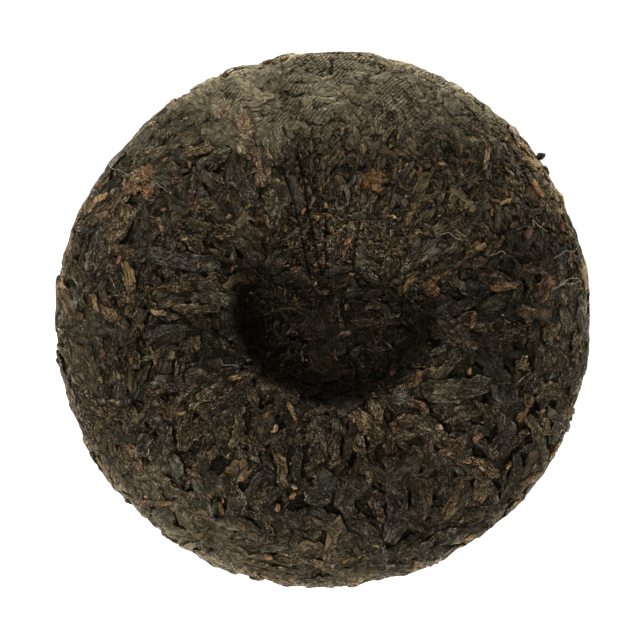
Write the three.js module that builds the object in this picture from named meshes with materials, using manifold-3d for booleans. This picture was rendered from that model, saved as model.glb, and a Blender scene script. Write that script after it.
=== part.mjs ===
import * as THREE from 'three';
import { mergeVertices } from 'three/addons/utils/BufferGeometryUtils.js';
import Module from 'manifold-3d';

// A round cake of tea leaves pressed in a tied cloth. It lies with the dimple of the cloth's knot
// uppermost. Sizes are millimetres, +Z is up, and the origin is under the middle of the cake.

const degree = Math.PI / 180;

// The cake without its dimple: a flattened dome above the widest ring and another below it.
const cakeRadius = 99.75;
const waistHeight = 11.2;
const topRise = 14.2;
const topSquareness = 4.8;
const underDrop = 11.9;
const underSquareness = 3.5;

// Where the round outline bulges or is worn flat: the side it is on, half its width and its rise.
const outlineSwells = [
  { side: 66 * degree, spread: 44 * degree, rise: 0.9 },
  { side: 82 * degree, spread: 18 * degree, rise: 0.7 },
  { side: 103 * degree, spread: 5 * degree, rise: -1.2 },
  { side: 138 * degree, spread: 26 * degree, rise: -0.6 },
  { side: 175 * degree, spread: 14 * degree, rise: 0.5 },
  { side: 211 * degree, spread: 6 * degree, rise: 0.9 },
  { side: 282 * degree, spread: 6 * degree, rise: -0.7 },
  { side: 300 * degree, spread: 5 * degree, rise: -0.9 },
  { side: 342 * degree, spread: 8 * degree, rise: -0.8 },
  { side: 1 * degree, spread: 6 * degree, rise: -0.5 },
  { side: 36 * degree, spread: 5 * degree, rise: 0.5 },
];

// The dimple is steep from the left round by the front to the right, and a long ramp at the back.
const dimple = { x: 4.3, y: 7.6, mouth: 40, depth: 12, steepSide: -98 * degree };
const steepRun = 9;
const rampRun = 32;
const steepFromCosine = -0.55;
const steepToCosine = 0.2;
const knot = { x: 2, y: -6.3, spread: 25, depth: 3.6 };

// The cloth's pleats press grooves that run out from the knot, over the lip and on to the top.
const pleatCount = 18;
const pleatWander = [{ swing: 5 * degree, beat: 2.4 }, { swing: 2.5 * degree, beat: 5.1 }];
const pleatStrength = { mean: 0.6, swing: 0.4, beat: 1.9 };
const pleatHalfWidth = 2.3;
const pleatDepth = 1.7;
const pleatStart = 6;
const pleatPeak = 33;
const pleatEnd = 62;

// How finely the bare cake is divided.
const spokesPerPleat = 4;
const floorRings = 3;
const wallRings = 5;
const topRings = 6;
const rimRings = 5;
const underRings = 6;
const flatRadius = 34;
const shoulderRadius = 82;

// Between the leaves the bare cake rises and sinks too, by the thickness of a small leaf.
const reliefRise = 0.35;
const reliefSink = 0.75;

// Leaves drawn by rule. Each lies half sunk, and its ridge stands this far above the cake.
const drawnLeaves = 150;
const leafLength = { least: 11, most: 27 };
const leafWidth = { least: 4, most: 8 };
const leafRidge = { least: 0.9, most: 1.8 };
const leafEdge = 0.15;
const tipSink = 0.4;
const leafKeel = 1.6;
const leafBody = 0.45;
const leafLean = 0.15;
const leafBend = 26 * degree;
const mostlySmall = 1.4;
const headingWander = 15 * degree;
const headingFade = 18;
const stepsPerStride = 3;
const floorClearance = 0.15;

// Leaves at the lip are short and low, and the back right of the top is made of crumbs.
const lipLeaf = { length: 8, ridge: 0.8 };
const crumbCorner = { x: -10, y: 12 };
const crumbLength = { least: 6, most: 10 };
const crumbWidth = { least: 3.7, most: 5.5 };

// The leaves, buds and stems that stand out: middle, length, width, ridge, heading and bend.
const largeLeaves = [
  { x: -50, y: 22.3, length: 29, width: 8.6, ridge: 1.3, heading: 14, bend: 0 },
  { x: -56, y: 12.3, length: 20, width: 6, ridge: 1.2, heading: 8, bend: 0 },
  { x: -52, y: -40, length: 17, width: 8, ridge: 1.1, heading: 82, bend: 0 },
  { x: -62, y: -36.5, length: 11, width: 6, ridge: 1.1, heading: 70, bend: 0 },
  { x: -55, y: -53.8, length: 11, width: 6, ridge: 1.1, heading: 60, bend: 0 },
  { x: 28, y: -67, length: 36, width: 8.8, ridge: 1.3, heading: 92, bend: 46 },
  { x: 72.1, y: -58, length: 19, width: 5, ridge: 1.4, heading: 100, bend: 12 },
  { x: 4.3, y: -44, length: 19, width: 5.2, ridge: 1.3, heading: 88, bend: 0 },
  { x: 10.5, y: -45, length: 16, width: 4.6, ridge: 1.2, heading: 80, bend: 0 },
  { x: 67.2, y: 12.8, length: 12.5, width: 3.6, ridge: 1.5, heading: 12, bend: 0 },
  { x: 55.2, y: 0.2, length: 8, width: 3.2, ridge: 1.3, heading: 82, bend: 0 },
  { x: 66.8, y: -24.2, length: 12.5, width: 2.8, ridge: 1.2, heading: 88, bend: 0 },
  { x: 60.4, y: 60, length: 10, width: 2.4, ridge: 1.1, heading: 78, bend: 0 },
  { x: -85, y: 6.4, length: 8, width: 3.4, ridge: 1.3, heading: 110, bend: 0 },
  { x: -84, y: 44, length: 12, width: 3.8, ridge: 1.3, heading: 38, bend: 0 },
  { x: 78, y: 51, length: 9, width: 3.8, ridge: 1.4, heading: 130, bend: 0 },
];

// Crumbs that stand off the rim, a little above its widest ring, by the side that they are on.
const crumbSunkShare = 0.25;
const crumbLift = 1;
const rimCrumbs = [
  { side: 37 * degree, size: 3.2 },
  { side: 188 * degree, size: 2.8 },
  { side: 267 * degree, size: 2.2 },
];

function smooth(value) {
  const t = Math.min(Math.max(value, 0), 1);
  return t * t * (3 - 2 * t);
}

function angleBetween(a, b) {
  return Math.abs(Math.atan2(Math.sin(a - b), Math.cos(a - b)));
}

// A repeatable draw of numbers from 0 to 1.
function makeDraw(seed) {
  let state = seed;
  return () => {
    state = (Math.imul(state, 1664525) + 1013904223) >>> 0;
    return state / 4294967296;
  };
}

function outlineRadius(angle) {
  let radius = cakeRadius;
  for (const swell of outlineSwells) {
    radius += swell.rise * smooth(1 - angleBetween(angle, swell.side) / swell.spread);
  }
  return radius;
}

// The side on which a pleat lies, as seen from the middle of the dimple.
function pleatAngle(index) {
  const wrapped = ((index % pleatCount) + pleatCount) % pleatCount;
  let angle = (index / pleatCount) * 2 * Math.PI;
  for (const wander of pleatWander) angle += wander.swing * Math.sin(wrapped * wander.beat);
  return angle;
}

function pleatGroove(angle, reach) {
  if (reach < pleatStart || reach > pleatEnd) return 0;
  let nearest = Math.PI;
  let strength = 0;
  for (let index = 0; index < pleatCount; index += 1) {
    const gap = angleBetween(angle, pleatAngle(index));
    if (gap < nearest) {
      nearest = gap;
      strength = pleatStrength.mean + pleatStrength.swing * Math.sin(index * pleatStrength.beat);
    }
  }
  const across = Math.max(0, 1 - (nearest * reach) / pleatHalfWidth);
  const rising = smooth((reach - pleatStart) / (pleatPeak - pleatStart));
  const fading = smooth((pleatEnd - reach) / (pleatEnd - pleatPeak));
  return pleatDepth * strength * across * rising * fading;
}

function dimpleRun(angle) {
  const turn = Math.cos(angle - dimple.steepSide);
  const steepShare = smooth((turn - steepFromCosine) / (steepToCosine - steepFromCosine));
  return rampRun + (steepRun - rampRun) * steepShare;
}

// How far the top is pressed down at a place.
function pressedDepth(x, y) {
  const reach = Math.hypot(x - dimple.x, y - dimple.y);
  const angle = Math.atan2(y - dimple.y, x - dimple.x);
  const bowl = dimple.depth * smooth((dimple.mouth - reach) / dimpleRun(angle));
  const pit = knot.depth * smooth(1 - Math.hypot(x - knot.x, y - knot.y) / knot.spread);
  return bowl + pit + pleatGroove(angle, reach);
}

function topHeight(x, y) {
  const outward = Math.hypot(x, y) / outlineRadius(Math.atan2(y, x));
  const dome = Math.sqrt(Math.max(0, 1 - outward ** topSquareness));
  return waistHeight + topRise * dome - pressedDepth(x, y);
}

function underHeight(x, y) {
  const outward = Math.hypot(x, y) / outlineRadius(Math.atan2(y, x));
  const dome = Math.sqrt(Math.max(0, 1 - outward ** underSquareness));
  return Math.max(0, waistHeight - underDrop * dome);
}

// Signed measure of how far a point is outside the skin, zero on it.
function outside(point) {
  const outward = Math.hypot(point.x, point.y) / outlineRadius(Math.atan2(point.y, point.x));
  const onTop = point.z > waistHeight / 2;
  const lifted = point.z + (onTop ? pressedDepth(point.x, point.y) : 0) - waistHeight;
  return lifted > 0
    ? outward ** topSquareness + (lifted / topRise) ** 2 - 1
    : outward ** underSquareness + (lifted / underDrop) ** 2 - 1;
}

function gradient(point) {
  const step = 0.05;
  const slope = new THREE.Vector3();
  for (const axis of ['x', 'y', 'z']) {
    const ahead = point.clone();
    const behind = point.clone();
    ahead[axis] += step;
    behind[axis] -= step;
    slope[axis] = (outside(ahead) - outside(behind)) / (2 * step);
  }
  return slope;
}

// Moves a point on to the skin, and gives the skin's outward normal there.
function dropToSkin(point) {
  const settled = point.clone();
  let slope = gradient(settled);
  for (let pass = 0; pass < 4; pass += 1) {
    settled.addScaledVector(slope, -outside(settled) / Math.max(slope.lengthSq(), 1e-9));
    slope = gradient(settled);
  }
  return { place: settled, normal: slope.normalize() };
}

// Builds a manifold from vertices and triangles, turned so that its faces point out.
function toSolid(wasm, vertices, triangles) {
  let volume = 0;
  for (const [a, b, c] of triangles) {
    volume += vertices[a].dot(vertices[b].clone().cross(vertices[c]));
  }
  const outwards = volume > 0 ? triangles : triangles.map(([a, b, c]) => [a, c, b]);
  const geometry = new THREE.BufferGeometry();
  geometry.setAttribute(
    'position',
    new THREE.Float32BufferAttribute(vertices.flatMap((vertex) => vertex.toArray()), 3),
  );
  geometry.setIndex(outwards.flat());
  const merged = mergeVertices(geometry, 1e-5);
  return new wasm.Manifold(new wasm.Mesh({
    numProp: 3,
    vertProperties: new Float32Array(merged.attributes.position.array),
    triVerts: new Uint32Array(merged.index.array),
  }));
}

// The rings of the bare cake, from the middle of the dimple out, round the rim and underneath.
function cakeRings() {
  const spokes = [];
  for (let index = 0; index < pleatCount; index += 1) {
    const from = pleatAngle(index);
    const to = pleatAngle(index + 1);
    for (let part = 0; part < spokesPerPleat; part += 1) {
      spokes.push(from + ((to - from) * part) / spokesPerPleat);
    }
  }
  const ring = (centre, reachAt, heightAt) => spokes.map((angle) => {
    const x = centre.x + reachAt(angle) * Math.cos(angle);
    const y = centre.y + reachAt(angle) * Math.sin(angle);
    return new THREE.Vector3(x, y, heightAt(x, y));
  });
  const cakeMiddle = new THREE.Vector2(0, 0);
  const dimpleMiddle = new THREE.Vector2(dimple.x, dimple.y);
  const knotMiddle = new THREE.Vector2(knot.x, knot.y);
  const between = (from, to, share) => from.clone().lerp(to, share);
  const foot = (angle) => dimple.mouth - dimpleRun(angle);
  const rings = [];
  for (let index = 1; index <= floorRings; index += 1) {
    const share = index / floorRings;
    const centre = between(knotMiddle, dimpleMiddle, share);
    rings.push(ring(centre, (angle) => foot(angle) * share, topHeight));
  }
  for (let index = 1; index <= wallRings; index += 1) {
    const share = index / wallRings;
    rings.push(ring(dimpleMiddle, (angle) => foot(angle) + dimpleRun(angle) * share, topHeight));
  }
  for (let index = 1; index <= topRings; index += 1) {
    const share = index / topRings;
    const reach = dimple.mouth + (shoulderRadius - dimple.mouth) * share;
    rings.push(ring(between(dimpleMiddle, cakeMiddle, share), () => reach, topHeight));
  }
  // The rim's rings are at even turns from the shoulder to the widest ring and on to the flat.
  const turnOf = (radius, squareness) => Math.asin((radius / cakeRadius) ** (squareness / 2));
  const shareOf = (turn, squareness) => Math.sin(turn) ** (2 / squareness);
  const shoulderTurn = turnOf(shoulderRadius, topSquareness);
  for (let index = 1; index <= rimRings; index += 1) {
    const turn = shoulderTurn + ((0.5 * Math.PI - shoulderTurn) * index) / rimRings;
    const share = shareOf(turn, topSquareness);
    const heightAt = index < rimRings ? topHeight : () => waistHeight;
    rings.push(ring(cakeMiddle, (angle) => outlineRadius(angle) * share, heightAt));
  }
  const flatTurn = turnOf(flatRadius, underSquareness);
  for (let index = underRings - 1; index >= 0; index -= 1) {
    const turn = flatTurn + ((0.5 * Math.PI - flatTurn) * index) / underRings;
    const share = shareOf(turn, underSquareness);
    const heightAt = index > 0 ? underHeight : () => 0;
    rings.push(ring(cakeMiddle, (angle) => outlineRadius(angle) * share, heightAt));
  }
  const draw = makeDraw(7741);
  for (const vertex of rings.slice(0, -1).flat()) {
    const relief = reliefRise - (reliefRise + reliefSink) * draw();
    vertex.addScaledVector(gradient(vertex).normalize(), relief);
    vertex.z = Math.max(vertex.z, floorClearance);
  }
  return rings;
}

function bareCake(wasm) {
  const rings = cakeRings();
  const spokeCount = rings[0].length;
  const vertices = rings.flat();
  const triangles = [];
  for (let row = 0; row + 1 < rings.length; row += 1) {
    for (let spoke = 0; spoke < spokeCount; spoke += 1) {
      const next = (spoke + 1) % spokeCount;
      const inner = row * spokeCount;
      const outer = inner + spokeCount;
      triangles.push([inner + spoke, outer + spoke, outer + next]);
      triangles.push([inner + spoke, outer + next, inner + next]);
    }
  }
  const knotPoint = vertices.push(new THREE.Vector3(knot.x, knot.y, topHeight(knot.x, knot.y))) - 1;
  const underPoint = vertices.push(new THREE.Vector3(0, 0, 0)) - 1;
  const last = (rings.length - 1) * spokeCount;
  for (let spoke = 0; spoke < spokeCount; spoke += 1) {
    const next = (spoke + 1) % spokeCount;
    triangles.push([knotPoint, spoke, next]);
    triangles.push([underPoint, last + next, last + spoke]);
  }
  return toSolid(wasm, vertices, triangles);
}

// Walks along the skin from a start in short steps, turning steadily, and gives each stop.
function walkSkin(start, heading, strides, bendPerLength) {
  const stops = [];
  let here = { ...start, heading };
  for (const stride of strides) {
    const step = stride / stepsPerStride;
    for (let count = 0; count < stepsPerStride; count += 1) {
      const turned = here.heading.clone().applyAxisAngle(here.normal, bendPerLength * step);
      const landed = dropToSkin(here.place.clone().addScaledVector(turned, step));
      here = { ...landed, heading: turned.projectOnPlane(landed.normal).normalize() };
    }
    stops.push(here);
  }
  return stops;
}

// A pointed leaf with a ridge above and a keel below, which follows the skin from its middle out.
// A long leaf keeps its width over the middle, and a crumb narrows at once.
function leafSolid(wasm, leaf) {
  const start = dropToSkin(leaf.place);
  const ahead = leaf.direction.clone().projectOnPlane(start.normal).normalize();
  const half = leaf.length / 2;
  const strides = leaf.isCrumb ? [half] : [leafBody * half, (1 - leafBody) * half];
  const bend = leaf.bend / leaf.length;
  const front = walkSkin(start, ahead, strides, bend);
  const back = walkSkin(start, ahead.clone().negate(), strides, -bend)
    .map((stop) => ({ ...stop, heading: stop.heading.clone().negate() }));
  const middle = leaf.isCrumb ? [{ ...start, heading: ahead }] : [back[0], front[0]];
  const raised = (stop, sideways, height) => {
    const across = stop.normal.clone().cross(stop.heading).normalize();
    return stop.place.clone()
      .addScaledVector(across, sideways)
      .addScaledVector(stop.normal, height);
  };
  const vertices = [raised(back[back.length - 1], 0, -tipSink)];
  for (const stop of middle) {
    vertices.push(raised(stop, leaf.width / 2, leafEdge));
    vertices.push(raised(stop, leaf.width * leaf.lean, leaf.ridge));
    vertices.push(raised(stop, -leaf.width / 2, leafEdge));
    vertices.push(raised(stop, 0, -leafKeel));
  }
  const lastTip = vertices.push(raised(front[front.length - 1], 0, -tipSink)) - 1;
  for (const vertex of vertices) vertex.z = Math.max(vertex.z, floorClearance);
  const triangles = [];
  for (let side = 0; side < 4; side += 1) {
    const near = 1 + side;
    const nearNext = 1 + ((side + 1) % 4);
    triangles.push([0, near, nearNext]);
    if (!leaf.isCrumb) {
      triangles.push([near, near + 4, nearNext + 4], [near, nearNext + 4, nearNext]);
    }
    triangles.push([lastTip, nearNext + lastTip - 5, near + lastTip - 5]);
  }
  return toSolid(wasm, vertices, triangles);
}

// Areas of thin bands of the undimpled skin, added up from the top middle to the underside.
function skinBands() {
  const bands = [];
  const steps = 160;
  let total = 0;
  let before = new THREE.Vector2(0, waistHeight + topRise);
  for (let step = 1; step <= steps; step += 1) {
    const turn = (step / steps) * Math.PI;
    const squareness = turn <= Math.PI / 2 ? topSquareness : underSquareness;
    const depth = turn <= Math.PI / 2 ? topRise : underDrop;
    const here = new THREE.Vector2(
      cakeRadius * Math.sin(turn) ** (2 / squareness),
      waistHeight + depth * Math.cos(turn),
    );
    total += Math.PI * (before.x + here.x) * before.distanceTo(here);
    bands.push({ radius: here.x, height: Math.max(here.y, 0), area: total });
    before = here;
  }
  return bands;
}

// The heading of a leaf: out from the knot near the dimple, along the rim, and any way elsewhere.
function leafHeading(x, y, onTop, draw) {
  const wander = headingWander * (2 * draw() - 1);
  const free = 2 * Math.PI * draw();
  if (Math.hypot(x, y) > shoulderRadius) return Math.atan2(y, x) + Math.PI / 2 + wander;
  const nearDimple = Math.hypot(x - dimple.x, y - dimple.y) < pleatEnd - headingFade * draw();
  return onTop && nearDimple ? Math.atan2(y - knot.y, x - knot.x) + wander : free;
}

// Leaves spread evenly over the whole skin by turns of the golden angle.
function drawLeaves(wasm) {
  const draw = makeDraw(20261);
  const bands = skinBands();
  const whole = bands[bands.length - 1].area;
  const goldenTurn = Math.PI * (3 - Math.sqrt(5));
  const within = (range, share) => range.least + (range.most - range.least) * share;
  const solids = [];
  for (let index = 0; index < drawnLeaves; index += 1) {
    const area = (whole * (index + 0.5)) / drawnLeaves;
    const band = bands.find((candidate) => candidate.area >= area);
    const angle = index * goldenTurn;
    const reach = (band.radius * outlineRadius(angle)) / cakeRadius;
    const x = reach * Math.cos(angle);
    const y = reach * Math.sin(angle);
    const onTop = band.height > waistHeight;
    const isCrumb = onTop && reach < shoulderRadius && x > crumbCorner.x && y > crumbCorner.y;
    const size = draw() ** mostlySmall;
    const heading = leafHeading(x, y, onTop, draw);
    const leaf = {
      isCrumb,
      place: new THREE.Vector3(x, y, band.height - (onTop ? pressedDepth(x, y) : 0)),
      direction: new THREE.Vector3(Math.cos(heading), Math.sin(heading), 0),
      length: within(isCrumb ? crumbLength : leafLength, size),
      width: within(isCrumb ? crumbWidth : leafWidth, 0.5 * (size + draw())),
      ridge: within(leafRidge, draw()),
      lean: leafLean * (2 * draw() - 1),
      bend: leafBend * (2 * draw() - 1),
    };
    const fromMouth = dimple.mouth - Math.hypot(x - dimple.x, y - dimple.y);
    const atLip = onTop && Math.abs(fromMouth - 0.5 * steepRun) < steepRun;
    if (atLip) {
      leaf.length = Math.min(leaf.length, lipLeaf.length);
      leaf.ridge = Math.min(leaf.ridge, lipLeaf.ridge);
    }
    const overFlat = !onTop && reach - 0.5 * leaf.length < flatRadius + leafKeel;
    if (!overFlat) solids.push(leafSolid(wasm, leaf));
  }
  return solids;
}

function placeLargeLeaves(wasm) {
  return largeLeaves.map((leaf) => leafSolid(wasm, {
    ...leaf,
    isCrumb: false,
    place: new THREE.Vector3(leaf.x, leaf.y, topHeight(leaf.x, leaf.y)),
    direction: new THREE.Vector3(Math.cos(leaf.heading * degree), Math.sin(leaf.heading * degree), 0),
    bend: leaf.bend * degree,
    lean: 0.5 * leafLean,
  }));
}

// A crumb on the rim is a lump with twenty flat faces.
function placeRimCrumbs(wasm) {
  return rimCrumbs.map((crumb) => {
    const lump = new THREE.IcosahedronGeometry(crumb.size, 0);
    const reach = outlineRadius(crumb.side) - crumbSunkShare * crumb.size;
    const height = waistHeight + crumbLift;
    lump.rotateZ(crumb.side);
    lump.translate(reach * Math.cos(crumb.side), reach * Math.sin(crumb.side), height);
    lump.deleteAttribute('normal');
    lump.deleteAttribute('uv');
    const merged = mergeVertices(lump, 1e-4);
    const points = merged.attributes.position;
    const vertices = [...Array(points.count).keys()]
      .map((index) => new THREE.Vector3().fromBufferAttribute(points, index));
    const triangles = [];
    for (let index = 0; index < merged.index.count; index += 3) {
      triangles.push([0, 1, 2].map((corner) => merged.index.getX(index + corner)));
    }
    return toSolid(wasm, vertices, triangles);
  });
}

// Fuses everything into one solid. Any hollow sealed between leaves is filled.
function fusedCake(wasm) {
  let cake = bareCake(wasm);
  const pieces = [...placeLargeLeaves(wasm), ...drawLeaves(wasm), ...placeRimCrumbs(wasm)];
  for (const piece of pieces) cake = cake.add(piece);
  const bodies = cake.decompose().sort((one, other) => other.volume() - one.volume());
  const mesh = bodies[0].getMesh();
  const geometry = new THREE.BufferGeometry();
  const count = mesh.vertProperties.length / mesh.numProp;
  const positions = new Float32Array(count * 3);
  for (let index = 0; index < count; index += 1) {
    for (let axis = 0; axis < 3; axis += 1) {
      positions[3 * index + axis] = mesh.vertProperties[mesh.numProp * index + axis];
    }
  }
  geometry.setAttribute('position', new THREE.BufferAttribute(positions, 3));
  geometry.setIndex(new THREE.BufferAttribute(new Uint32Array(mesh.triVerts), 1));
  geometry.computeVertexNormals();
  return geometry;
}

const wasm = await Module();
wasm.setup();

const group = new THREE.Group();
const darkTea = new THREE.MeshStandardMaterial({ color: 0x352f24, roughness: 0.8, metalness: 0 });
const cake = new THREE.Mesh(fusedCake(wasm), darkTea);
cake.name = 'tea_cake';
group.add(cake);

export default group;
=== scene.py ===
import math

import bpy
import numpy as np
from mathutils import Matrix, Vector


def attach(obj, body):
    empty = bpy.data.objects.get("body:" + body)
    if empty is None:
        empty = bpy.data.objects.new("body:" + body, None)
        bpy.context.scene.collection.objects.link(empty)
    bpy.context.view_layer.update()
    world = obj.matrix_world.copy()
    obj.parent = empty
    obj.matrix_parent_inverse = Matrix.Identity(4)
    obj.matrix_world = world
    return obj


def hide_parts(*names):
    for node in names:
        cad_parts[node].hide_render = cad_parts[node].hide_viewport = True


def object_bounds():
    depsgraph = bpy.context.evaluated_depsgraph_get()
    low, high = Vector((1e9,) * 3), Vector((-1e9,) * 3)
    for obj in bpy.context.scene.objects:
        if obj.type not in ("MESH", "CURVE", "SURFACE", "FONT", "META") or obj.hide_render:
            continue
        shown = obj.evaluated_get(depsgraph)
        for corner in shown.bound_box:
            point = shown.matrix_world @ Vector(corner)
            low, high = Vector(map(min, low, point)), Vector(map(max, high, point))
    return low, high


# A round cake of dark fermented tea, pressed in a tied cloth. Everything is worked out in
# millimetres on the cake's own skin, and turned into metres when a mesh is made.
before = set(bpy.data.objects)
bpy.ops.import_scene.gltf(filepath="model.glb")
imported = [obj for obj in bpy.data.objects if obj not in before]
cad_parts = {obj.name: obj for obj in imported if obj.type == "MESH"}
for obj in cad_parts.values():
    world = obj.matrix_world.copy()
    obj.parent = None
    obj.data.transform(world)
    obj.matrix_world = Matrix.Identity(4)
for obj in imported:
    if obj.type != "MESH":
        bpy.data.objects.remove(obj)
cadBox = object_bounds()
mm = 0.001
degree = math.pi / 180

# Camera, as the photo was taken: from straight above. Its picture is 640 px wide.
photo = {"width": 640, "middleX": 323.6, "middleY": 320.3, "mmPerPixel": 0.3745}
shot = {"height": 1200.0, "aimHeight": 11.2, "sensor": 36.0, "near": 0.05, "far": 20}


def photoPlace(pixelX, pixelY):
    x = (pixelX - photo["middleX"]) * photo["mmPerPixel"]
    y = (photo["middleY"] - pixelY) * photo["mmPerPixel"]
    return x, y


def placeCamera():
    lens = bpy.data.cameras.new("teaCamera")
    lens.sensor_width = shot["sensor"]
    lens.lens = shot["sensor"] * shot["height"] / (photo["width"] * photo["mmPerPixel"])
    lens.clip_start = shot["near"]
    lens.clip_end = shot["far"]
    camera = bpy.data.objects.new("teaCamera", lens)
    x, y = photoPlace(photo["width"] / 2, photo["width"] / 2)
    camera.location = (x * mm, y * mm, (shot["height"] + shot["aimHeight"]) * mm)
    bpy.context.scene.collection.objects.link(camera)
    bpy.context.scene.camera = camera


placeCamera()

# Form of the cake, as the CAD has it.
cakeForm = {
    "radius": 99.75, "waist": 11.2, "shoulder": 82.0,
    "topRise": 14.2, "topSquareness": 4.8,
    "underDrop": 11.9, "underSquareness": 3.5,
    # side and half its width in degrees, and rise, of each swell of the outline
    "swells": [(66, 44, 0.9), (82, 18, 0.7), (103, 5, -1.2), (138, 26, -0.6), (175, 14, 0.5),
               (211, 6, 0.9), (282, 6, -0.7), (300, 5, -0.9), (342, 8, -0.8), (1, 6, -0.5),
               (36, 5, 0.5)],
}
dimple = {
    "x": 4.3, "y": 7.6, "mouth": 40.0, "depth": 12.0, "steepSide": -98 * degree,
    "steepRun": 9.0, "rampRun": 32.0, "steepFrom": -0.55, "steepTo": 0.2,
    "inside": 1.0, "insideBlur": 6.0,
}
knot = {"x": 2.0, "y": -6.3, "spread": 25.0, "depth": 3.6}
pleats = {
    "count": 18, "wander": [(5 * degree, 2.4), (2.5 * degree, 5.1)],
    "mean": 0.6, "swing": 0.4, "beat": 1.9,
    "halfWidth": 2.3, "depth": 1.7, "start": 6.0, "peak": 33.0, "end": 62.0,
}


def smooth(value):
    t = np.clip(value, 0, 1)
    return t * t * (3 - 2 * t)


# Climbs smoothly from 0 at one value to 1 at another.
def climb(value, start, end):
    return smooth((value - start) / (end - start))


def unit(vectors):
    size = np.sqrt((vectors ** 2).sum(-1, keepdims=True))
    return vectors / np.maximum(size, 1e-9)


def angleGap(a, b):
    return np.abs(np.arctan2(np.sin(a - b), np.cos(a - b)))


outlineSides = np.linspace(-math.pi, math.pi, 1441)
outlineReach = np.full(outlineSides.shape, cakeForm["radius"])
for side, spread, rise in cakeForm["swells"]:
    gap = angleGap(outlineSides, side * degree)
    outlineReach += rise * smooth(1 - gap / (spread * degree))

pleatWrapped = np.arange(-1, pleats["count"] + 1) % pleats["count"]
pleatSides = np.arange(-1, pleats["count"] + 1) / pleats["count"] * 2 * math.pi
for swing, beat in pleats["wander"]:
    pleatSides = pleatSides + swing * np.sin(pleatWrapped * beat)
pleatStrength = pleats["mean"] + pleats["swing"] * np.sin(pleatWrapped * pleats["beat"])


def outlineRadius(x, y):
    return np.interp(np.arctan2(y, x), outlineSides, outlineReach)


# From 0 in the middle to 1 at the outline.
def outwardShare(x, y):
    return np.hypot(x, y) / outlineRadius(x, y)


def isTop(points):
    return points[..., 2] > cakeForm["waist"]


def pleatGroove(angle, reach):
    angle = angle % (2 * math.pi)
    after = np.clip(np.searchsorted(pleatSides, angle), 1, len(pleatSides) - 1)
    nearer = (angle - pleatSides[after - 1]) < (pleatSides[after] - angle)
    closest = np.where(nearer, after - 1, after)
    across = np.maximum(0, 1 - np.abs(angle - pleatSides[closest]) * reach / pleats["halfWidth"])
    across = pleats["depth"] * pleatStrength[closest] * across
    fading = climb(reach, pleats["end"], pleats["peak"])
    return across * climb(reach, pleats["start"], pleats["peak"]) * fading


# How steep the dimple's side is to one side of its middle: 0 on the ramp, 1 where steepest.
def steepShare(angle):
    turn = np.cos(angle - dimple["steepSide"])
    return climb(turn, dimple["steepFrom"], dimple["steepTo"])


# How far the top is pressed down at a place: the knot's dimple, its pit and the pleats.
def pressedDepth(x, y):
    depth = np.zeros(np.shape(x))
    fromX, fromY = x - dimple["x"], y - dimple["y"]
    reach = np.hypot(fromX, fromY)
    near = reach < pleats["end"]
    if not near.any():
        return depth
    reach, angle = reach[near], np.arctan2(fromY[near], fromX[near])
    run = dimple["rampRun"] + (dimple["steepRun"] - dimple["rampRun"]) * steepShare(angle)
    bowl = dimple["depth"] * smooth((dimple["mouth"] - reach) / run)
    fromKnot = np.hypot(x[near] - knot["x"], y[near] - knot["y"])
    pit = knot["depth"] * smooth(1 - fromKnot / knot["spread"])
    depth[near] = bowl + pit + pleatGroove(angle, reach)
    return depth


# Height of the top at a place, with the dimple pressed in. It holds to just short of the outline.
topEdge = 0.995


def topHeight(x, y):
    outward = np.minimum(outwardShare(x, y), topEdge)
    dome = np.sqrt(1 - outward ** cakeForm["topSquareness"])
    return cakeForm["waist"] + cakeForm["topRise"] * dome - pressedDepth(x, y)


# Zero on the skin, above it outside and below it inside.
def outside(points):
    x, y, z = points[..., 0], points[..., 1], points[..., 2]
    outward = outwardShare(x, y)
    pressed = np.where(z > cakeForm["waist"] / 2, pressedDepth(x, y), 0)
    lifted = z + pressed - cakeForm["waist"]
    top = outward ** cakeForm["topSquareness"] + (lifted / cakeForm["topRise"]) ** 2
    under = outward ** cakeForm["underSquareness"] + (lifted / cakeForm["underDrop"]) ** 2
    return np.where(lifted > 0, top, under) - 1


def slopeAt(points):
    probe = 0.05
    slope = np.empty_like(points)
    for axis in range(3):
        shift = np.zeros(3)
        shift[axis] = probe
        slope[..., axis] = (outside(points + shift) - outside(points - shift)) / (2 * probe)
    return slope


# Moves points on to the skin, and gives the skin's normals there.
def settle(points, passes=3):
    for _ in range(passes):
        slope = slopeAt(points)
        steepness = np.maximum((slope ** 2).sum(-1), 1e-9)
        points = points - slope * (outside(points) / steepness)[..., None]
    return points, unit(slopeAt(points))


noiseCells = 32
noiseTable = np.random.default_rng(907).random((noiseCells, noiseCells, noiseCells)) * 2 - 1
noiseStep = np.array([7.13, 3.77, 5.31])


# Smooth noise from -1 to 1 that changes over about one size. Each seed reads it a step further on.
def swirl(points, size, seed=0):
    spot = points / size + seed * noiseStep
    cell = np.floor(spot).astype(int)
    share = spot - cell
    share = share * share * (3 - 2 * share)
    low, high = cell % noiseCells, (cell + 1) % noiseCells
    total = 0
    for pick in range(8):
        corner, weight = [], 1
        for axis in range(3):
            isHigh = (pick >> axis) & 1
            corner.append((high if isHigh else low)[..., axis])
            weight = weight * (share[..., axis] if isHigh else 1 - share[..., axis])
        total = total + weight * noiseTable[corner[0], corner[1], corner[2]]
    return total


# The whole surface heaves a little, so that leaves and core rise and sink together: the rise, size
# and noise seed of each kind of swell.
heaves = [(0.55, 13, 1), (0.4, 5.5, 2)]


def heave(points):
    return sum(rise * swirl(points, size, seed) for rise, size, seed in heaves)


# Where the cake is made of crumbs, from 0 to 1: mostly its back right.
crumbCorner = {"x": -10.0, "y": 12.0, "blur": 22.0, "patchSize": 17.0, "low": 9.0, "lowBlur": 6.0}


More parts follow.
